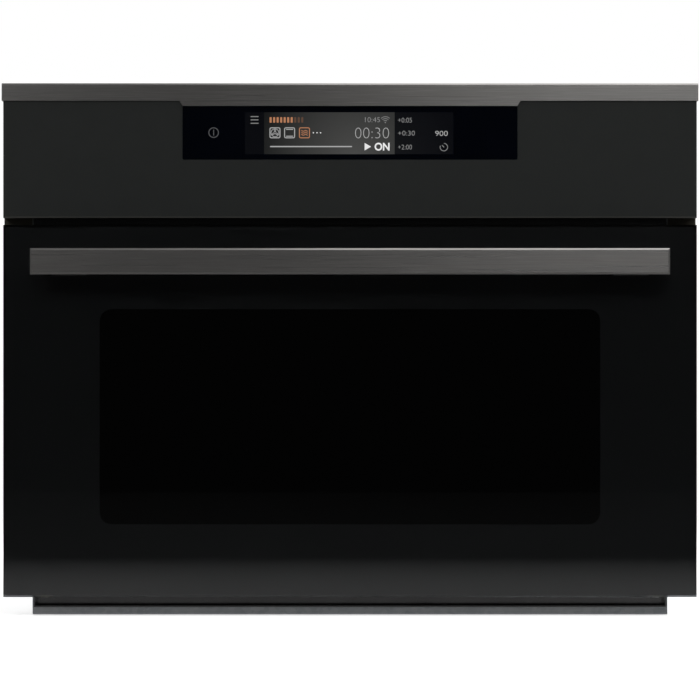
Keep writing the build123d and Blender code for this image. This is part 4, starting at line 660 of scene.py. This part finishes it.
# Top trim and handle. Stainless steel with a dark tinted coat, brushed along its length. The trim is folded
# over the fascia's top edge with closed ends, a bevelled front edge and a tongue over the display.
brushed_dark = Finish("brushed_dark", tone(107, 106, 105), roughness=0.3, metallic=1.0)
brushed_dark.set(**{"Anisotropic": 0.72, "Anisotropic Rotation": 0.25})
lines = brushed_dark.noise(1, stretch=(6, 900, 1500), detail=2)
hairs = brushed_dark.noise(1, stretch=(25, 2600, 4200), detail=1)
brushed_dark.tint(lines, tone(96, 94, 92), 0.35, 0.75).tint(hairs, tone(124, 122, 120), 0.55, 0.8)
brushed_dark.roughen(lines, 0.03).emboss(hairs, 0.00001, 0.3)
tangent = brushed_dark.add("Tangent", direction_type="RADIAL", axis="Z").outputs[0]
brushed_dark.tree.links.new(tangent, brushed_dark.shader.inputs["Tangent"])
finish_nodes(brushed_dark, "top_trim", "door_handle")

# Display. A black glass pane let into the fascia, flush with it, and behind it the screen in its moulded
# frame, with a lug at each side.
display_black = Finish("display_black", tone(0, 1, 4), roughness=0.05, Specular_IOR_Level=0.4)
display_black.roughen(display_black.noise(15, detail=4), 0.02)
display_black.emboss(display_black.noise(8, detail=1), 0.00005, 0.1)
display_black.tint(display_black.noise(30), tone(1, 2, 6))
finish_nodes(display_black, "display_glass")
screen_frame = Finish("screen_frame", tone(44, 45, 48), roughness=0.45)
screen_frame.tint(screen_frame.noise(300), tone(56, 57, 60)).roughen(screen_frame.noise(80), 0.06)
screen_frame.emboss(screen_frame.noise(2000, detail=1), 0.00002, 0.5)
finish_nodes(screen_frame, "display_module")

# Display picture. The screen shows a lit field with level bars, plain numbers, ON and simple icons, each a
# film of light a few hundredths of a millimetre in front of the black glass. Places and sizes on the glass
# are in millimetres, from the oven's middle and foot.
film_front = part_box("display_glass")[0].y - 0.00002
film_wall, centre_lift, sign_lift = 0.00003, 0.00004, 0.00008


def shine(finish, pattern, low, high, start, end):
    """Lets a finish give light of its own, from one colour to another with the pattern."""
    light = finish.mixed(pattern, low, high, start, end)
    finish.tree.links.new(light, finish.shader.inputs["Emission Color"])
    finish.set(**{"Emission Strength": 1.0})
    return finish


def lit_sign(name, red, green, blue):
    """Light of one colour through the fine square lattice of the screen's dots, four to a millimetre."""
    finish = Finish(name, tone(5, 5, 6), roughness=0.2)
    dim = tone(red * 0.86, green * 0.86, blue * 0.86)
    return shine(finish, finish.lattice(4000, (1, 0.001, 1)), tone(red, green, blue), dim, 0.25, 0.7)


def upright(left, right, low, high, corner=0.0):
    """A flat plate with its face to the front, left selected in edit mode."""
    bpy.ops.object.select_all(action="DESELECT")
    middle = ((left + right) / 2000, film_front, (low + high) / 2000)
    bpy.ops.mesh.primitive_plane_add(size=1, location=middle, rotation=(math.pi / 2, 0, 0))
    plate = bpy.context.object
    plate.scale = ((right - left) / 1000, (high - low) / 1000, 1)
    bpy.ops.object.transform_apply(location=True, rotation=True, scale=True)
    bpy.ops.object.mode_set(mode="EDIT")
    bpy.ops.mesh.select_all(action="SELECT")
    if corner:
        bpy.ops.mesh.bevel(offset=corner / 1000, segments=4, affect="VERTICES")
    return plate


def hollow(stroke):
    """Leaves only a line round the edge of the selected face."""
    bpy.ops.mesh.inset(thickness=stroke / 1000)
    bpy.ops.mesh.delete(type="FACE")


def bar(left, right, low, high, corner=0.0):
    plate = upright(left, right, low, high, corner)
    bpy.ops.object.mode_set(mode="OBJECT")
    return plate


def frame_line(left, right, low, high, corner, stroke):
    plate = upright(left, right, low, high, corner)
    hollow(stroke)
    bpy.ops.object.mode_set(mode="OBJECT")
    return plate


def round_spot(across, up, radius, sides):
    """A filled round, left selected in edit mode."""
    bpy.ops.object.select_all(action="DESELECT")
    bpy.ops.mesh.primitive_circle_add(
        vertices=sides, radius=radius / 1000, fill_type="NGON",
        location=(across / 1000, film_front, up / 1000), rotation=(math.pi / 2, 0, 0),
    )
    spot = bpy.context.object
    bpy.ops.object.transform_apply(location=True, rotation=True, scale=True)
    bpy.ops.object.mode_set(mode="EDIT")
    bpy.ops.mesh.select_all(action="SELECT")
    return spot


def dot(across, up, radius):
    spot = round_spot(across, up, radius, 12)
    bpy.ops.object.mode_set(mode="OBJECT")
    return spot


def arc(across, up, radius, stroke, start=0, end=360):
    """A ring, or the part of it from start to end in degrees, anticlockwise from the right."""
    ring = round_spot(across, up, radius, 48)
    hollow(stroke)
    bpy.ops.mesh.select_mode(type="FACE")
    bpy.ops.mesh.select_all(action="DESELECT")
    bpy.ops.object.mode_set(mode="OBJECT")
    for face in ring.data.polygons:
        turn = math.degrees(math.atan2(face.center.z - up / 1000, face.center.x - across / 1000)) % 360
        face.select = not (start <= turn <= end or start <= turn + 360 <= end)
    bpy.ops.object.mode_set(mode="EDIT")
    bpy.ops.mesh.delete(type="FACE")
    bpy.ops.object.mode_set(mode="OBJECT")
    return ring


def number(words, left, right, low, high, weight):
    """Figures drawn to fill a width and a height, thinner or bolder by their weight."""
    bpy.ops.object.select_all(action="DESELECT")
    bpy.ops.object.text_add()
    figures = bpy.context.object
    figures.data.body, figures.data.offset = words, weight
    bpy.ops.object.convert(target="MESH")
    drawn_x = [corner.co.x for corner in figures.data.vertices]
    drawn_y = [corner.co.y for corner in figures.data.vertices]
    wide = (right - left) / 1000 / (max(drawn_x) - min(drawn_x))
    tall = (high - low) / 1000 / (max(drawn_y) - min(drawn_y))
    figures.scale, figures.rotation_euler = (wide, tall, 1), (math.pi / 2, 0, 0)
    figures.location = (left / 1000 - wide * min(drawn_x), film_front, low / 1000 - tall * min(drawn_y))
    bpy.ops.object.transform_apply(location=True, rotation=True, scale=True)
    return figures


def turned(shape, degrees, across, up):
    """Turns a shape about a point of the glass."""
    bpy.ops.object.select_all(action="DESELECT")
    shape.select_set(True)
    bpy.context.view_layer.objects.active = shape
    centre = (across / 1000, film_front, up / 1000)
    bpy.ops.object.mode_set(mode="EDIT")
    bpy.ops.mesh.select_all(action="SELECT")
    bpy.ops.transform.rotate(value=math.radians(degrees), orient_axis="Y", center_override=centre)
    bpy.ops.object.mode_set(mode="OBJECT")
    return shape


def sign(name, finish, *shapes, lift=sign_lift):
    """Joins flat shapes into one film of the display, in front of what lies under it."""
    film = joined(name, shapes, finish)
    wall = film.modifiers.new("wall", "SOLIDIFY")
    wall.thickness, wall.offset = film_wall, -1
    film.location = (0, -lift, 0)
    bpy.ops.object.modifier_apply(modifier="wall")
    bpy.ops.object.transform_apply(location=True)
    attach(film, "oven")


def distance_from(finish, across, up):
    """How far a place of the picture lies from a point of it, in metres."""
    ends = {0: finish.place, 1: (across / 1000, film_front, up / 1000)}
    return finish.add("VectorMath", ends, operation="DISTANCE").outputs["Value"]


screen_left, screen_right, screen_low, screen_high, screen_corner = -89.7, 88.3, 394.4, 430.2, 0.5
centre_left, centre_right = -73.4, 38.1
sides_dark = Finish("screen_sides", tone(3, 3, 4), roughness=0.1, Specular_IOR_Level=0.3)
from_right = distance_from(sides_dark, across=38, up=392)
shine(sides_dark, from_right, tone(17, 18, 20), tone(6, 7, 10), start=0, end=0.055)
screen = bar(screen_left, screen_right, screen_low, screen_high, screen_corner)
sign("screen_sides", sides_dark, screen, lift=0)
centre_glow = Finish("screen_centre", tone(4, 4, 4), roughness=0.1, Specular_IOR_Level=0.3)
from_foot = distance_from(centre_glow, across=4, up=393)
shine(centre_glow, from_foot, tone(72, 72, 71), tone(21, 22, 22), start=0, end=0.084)
centre = bar(centre_left, centre_right, screen_low, screen_high)
sign("screen_centre", centre_glow, centre, lift=centre_lift)

copper = lit_sign("sign_copper", 186, 127, 91)
copper_dim = lit_sign("sign_copper_dim", 92, 68, 54)
white = lit_sign("sign_white", 240, 240, 240)
pale = lit_sign("sign_pale", 178, 178, 178)
grey = lit_sign("sign_grey", 132, 132, 132)
faint = lit_sign("sign_faint", 78, 78, 80)

level_left, level_width, level_pitch, top_low, top_high = -68.7, 1.8, 3, 421.3, 426.0
bars_lit, bars_in_all = 7, 10
bars = []
for step in range(bars_in_all):
    left = level_left + level_pitch * step
    bars.append(bar(left, left + level_width, top_low, top_high, corner=0.4))
sign("level_bars", copper, *bars[:bars_lit])
sign("level_bars_off", copper_dim, *bars[bars_lit:])

icon_low, icon_high, icon_half, icon_corner, icon_line = 408.0, 417.3, 4.65, 1.5, 0.75
fan_x, heat_x, wave_x = -64.1, -51.6, -38.9
icon_up, line_half = (icon_low + icon_high) / 2, 0.35
boxes = [
    frame_line(x - icon_half, x + icon_half, icon_low, icon_high, icon_corner, icon_line)
    for x in (fan_x, heat_x, wave_x)
]
vane_half, vane_foot, vane_tip = 0.8, 0.5, 2.9
vane = frame_line(
    fan_x - vane_half, fan_x + vane_half, icon_up + vane_foot, icon_up + vane_tip, corner=0.7, stroke=0.45
)
vanes = [turned(copied(vane), 120 * step, fan_x, icon_up) for step in (1, 2)]
sign("sign_fan", pale, boxes[0], arc(fan_x, icon_up, radius=3.6, stroke=0.5), vane, *vanes)
heat_half, heat_rise = 3, 2.9
heat = [
    bar(heat_x - heat_half, heat_x + heat_half, icon_up + up - line_half, icon_up + up + line_half)
    for up in (-heat_rise, heat_rise)
]
sign("sign_heat", pale, boxes[1], *heat)
wave_half, wave_pitch, wave_rise = 2.8, 1.7, 0.4
waves = []
for row in (-1, 0, 1):
    up = icon_up + wave_pitch * row
    ripple = upright(wave_x - wave_half, wave_x + wave_half, up - line_half, up + line_half)
    bpy.ops.mesh.subdivide(number_cuts=15)
    bpy.ops.object.mode_set(mode="OBJECT")
    for corner in ripple.data.vertices:
        half_waves = (corner.co.x * 1000 - wave_x) / wave_half * 1.5
        corner.co.z += wave_rise / 1000 * math.sin(half_waves * math.pi)
    waves.append(ripple)
sign("sign_waves", copper, boxes[2], *waves)

sign("sign_dots", white, *[dot(x, up=412.7, radius=0.55) for x in (-31.3, -28.2, -25.1)])
sign("sign_line", pale, bar(left=-68.3, right=1.7, low=400.4, high=401.4, corner=0.3))
menu_left, menu_right, menu_half, menu_rows = -85.0, -78.1, 0.4, (426.5, 423.7, 420.8)
menu = [bar(menu_left, menu_right, up - menu_half, up + menu_half, corner=0.3) for up in menu_rows]
sign("sign_menu", grey, *menu)
clock = number("10:45", left=12.8, right=25.6, low=421.7, high=top_high, weight=-0.008)
sign("clock_figures", grey, clock)
air_x, air_foot = 30.2, 421.3
air = [arc(air_x, air_foot, radius, stroke=0.55, start=45, end=135) for radius in (2.2, 3.8, 5.4)]
sign("sign_wireless", grey, dot(air_x, air_foot + 0.2, radius=0.6), *air)
time_left = number("00:30", left=4.4, right=33.3, low=408.0, high=417.0, weight=-0.028)
sign("time_figures", pale, time_left)

start_left, start_right, start_low, start_high = 12.5, 18.0, 397.6, 404.0
start = bar(start_left, start_right, start_low, start_high)
bpy.ops.object.mode_set(mode="EDIT")
bpy.ops.mesh.select_mode(type="EDGE")
bpy.ops.mesh.select_all(action="DESELECT")
bpy.ops.object.mode_set(mode="OBJECT")
for edge in start.data.edges:
    edge.select = all(start.data.vertices[end].co.x > (start_right - 0.1) / 1000 for end in edge.vertices)
bpy.ops.object.mode_set(mode="EDIT")
bpy.ops.mesh.merge(type="CENTER")
bpy.ops.object.mode_set(mode="OBJECT")
sign("sign_start", white, start, number("ON", left=21.0, right=33.8, low=397.4, high=404.2, weight=0.028))

step_left, step_tall = 41.0, 4.1
steps = (("five", "+0:05", 52.9, 421.4), ("thirty", "+0:30", 55.4, 410.3), ("two", "+2:00", 52.9, 398.4))
for name, words, right, low in steps:
    sign("step_" + name, grey, number(words, step_left, right, low, low + step_tall, weight=-0.006))
sign("watt_figures", pale, number("900", left=72.8, right=83.5, low=410.0, high=414.3, weight=-0.008))
timer_x, timer_up, hand_half, hand_tail, hand_reach, hand_tilt = 80.2, 400.4, 0.35, 0.2, 2.3, 42
hand = bar(timer_x - hand_half, timer_x + hand_half, timer_up - hand_tail, timer_up + hand_reach)
dial = arc(timer_x, timer_up, radius=3.5, stroke=0.6, start=155, end=450)
sign("sign_timer", grey, dial, turned(hand, hand_tilt, timer_x, timer_up))
power_x, power_half = -116.5, 0.4
power_bar = bar(power_x - power_half, power_x + power_half, low=410.3, high=415.4, corner=0.2)
sign("sign_power", faint, arc(power_x, up=412.8, radius=4.5, stroke=0.8), power_bar)
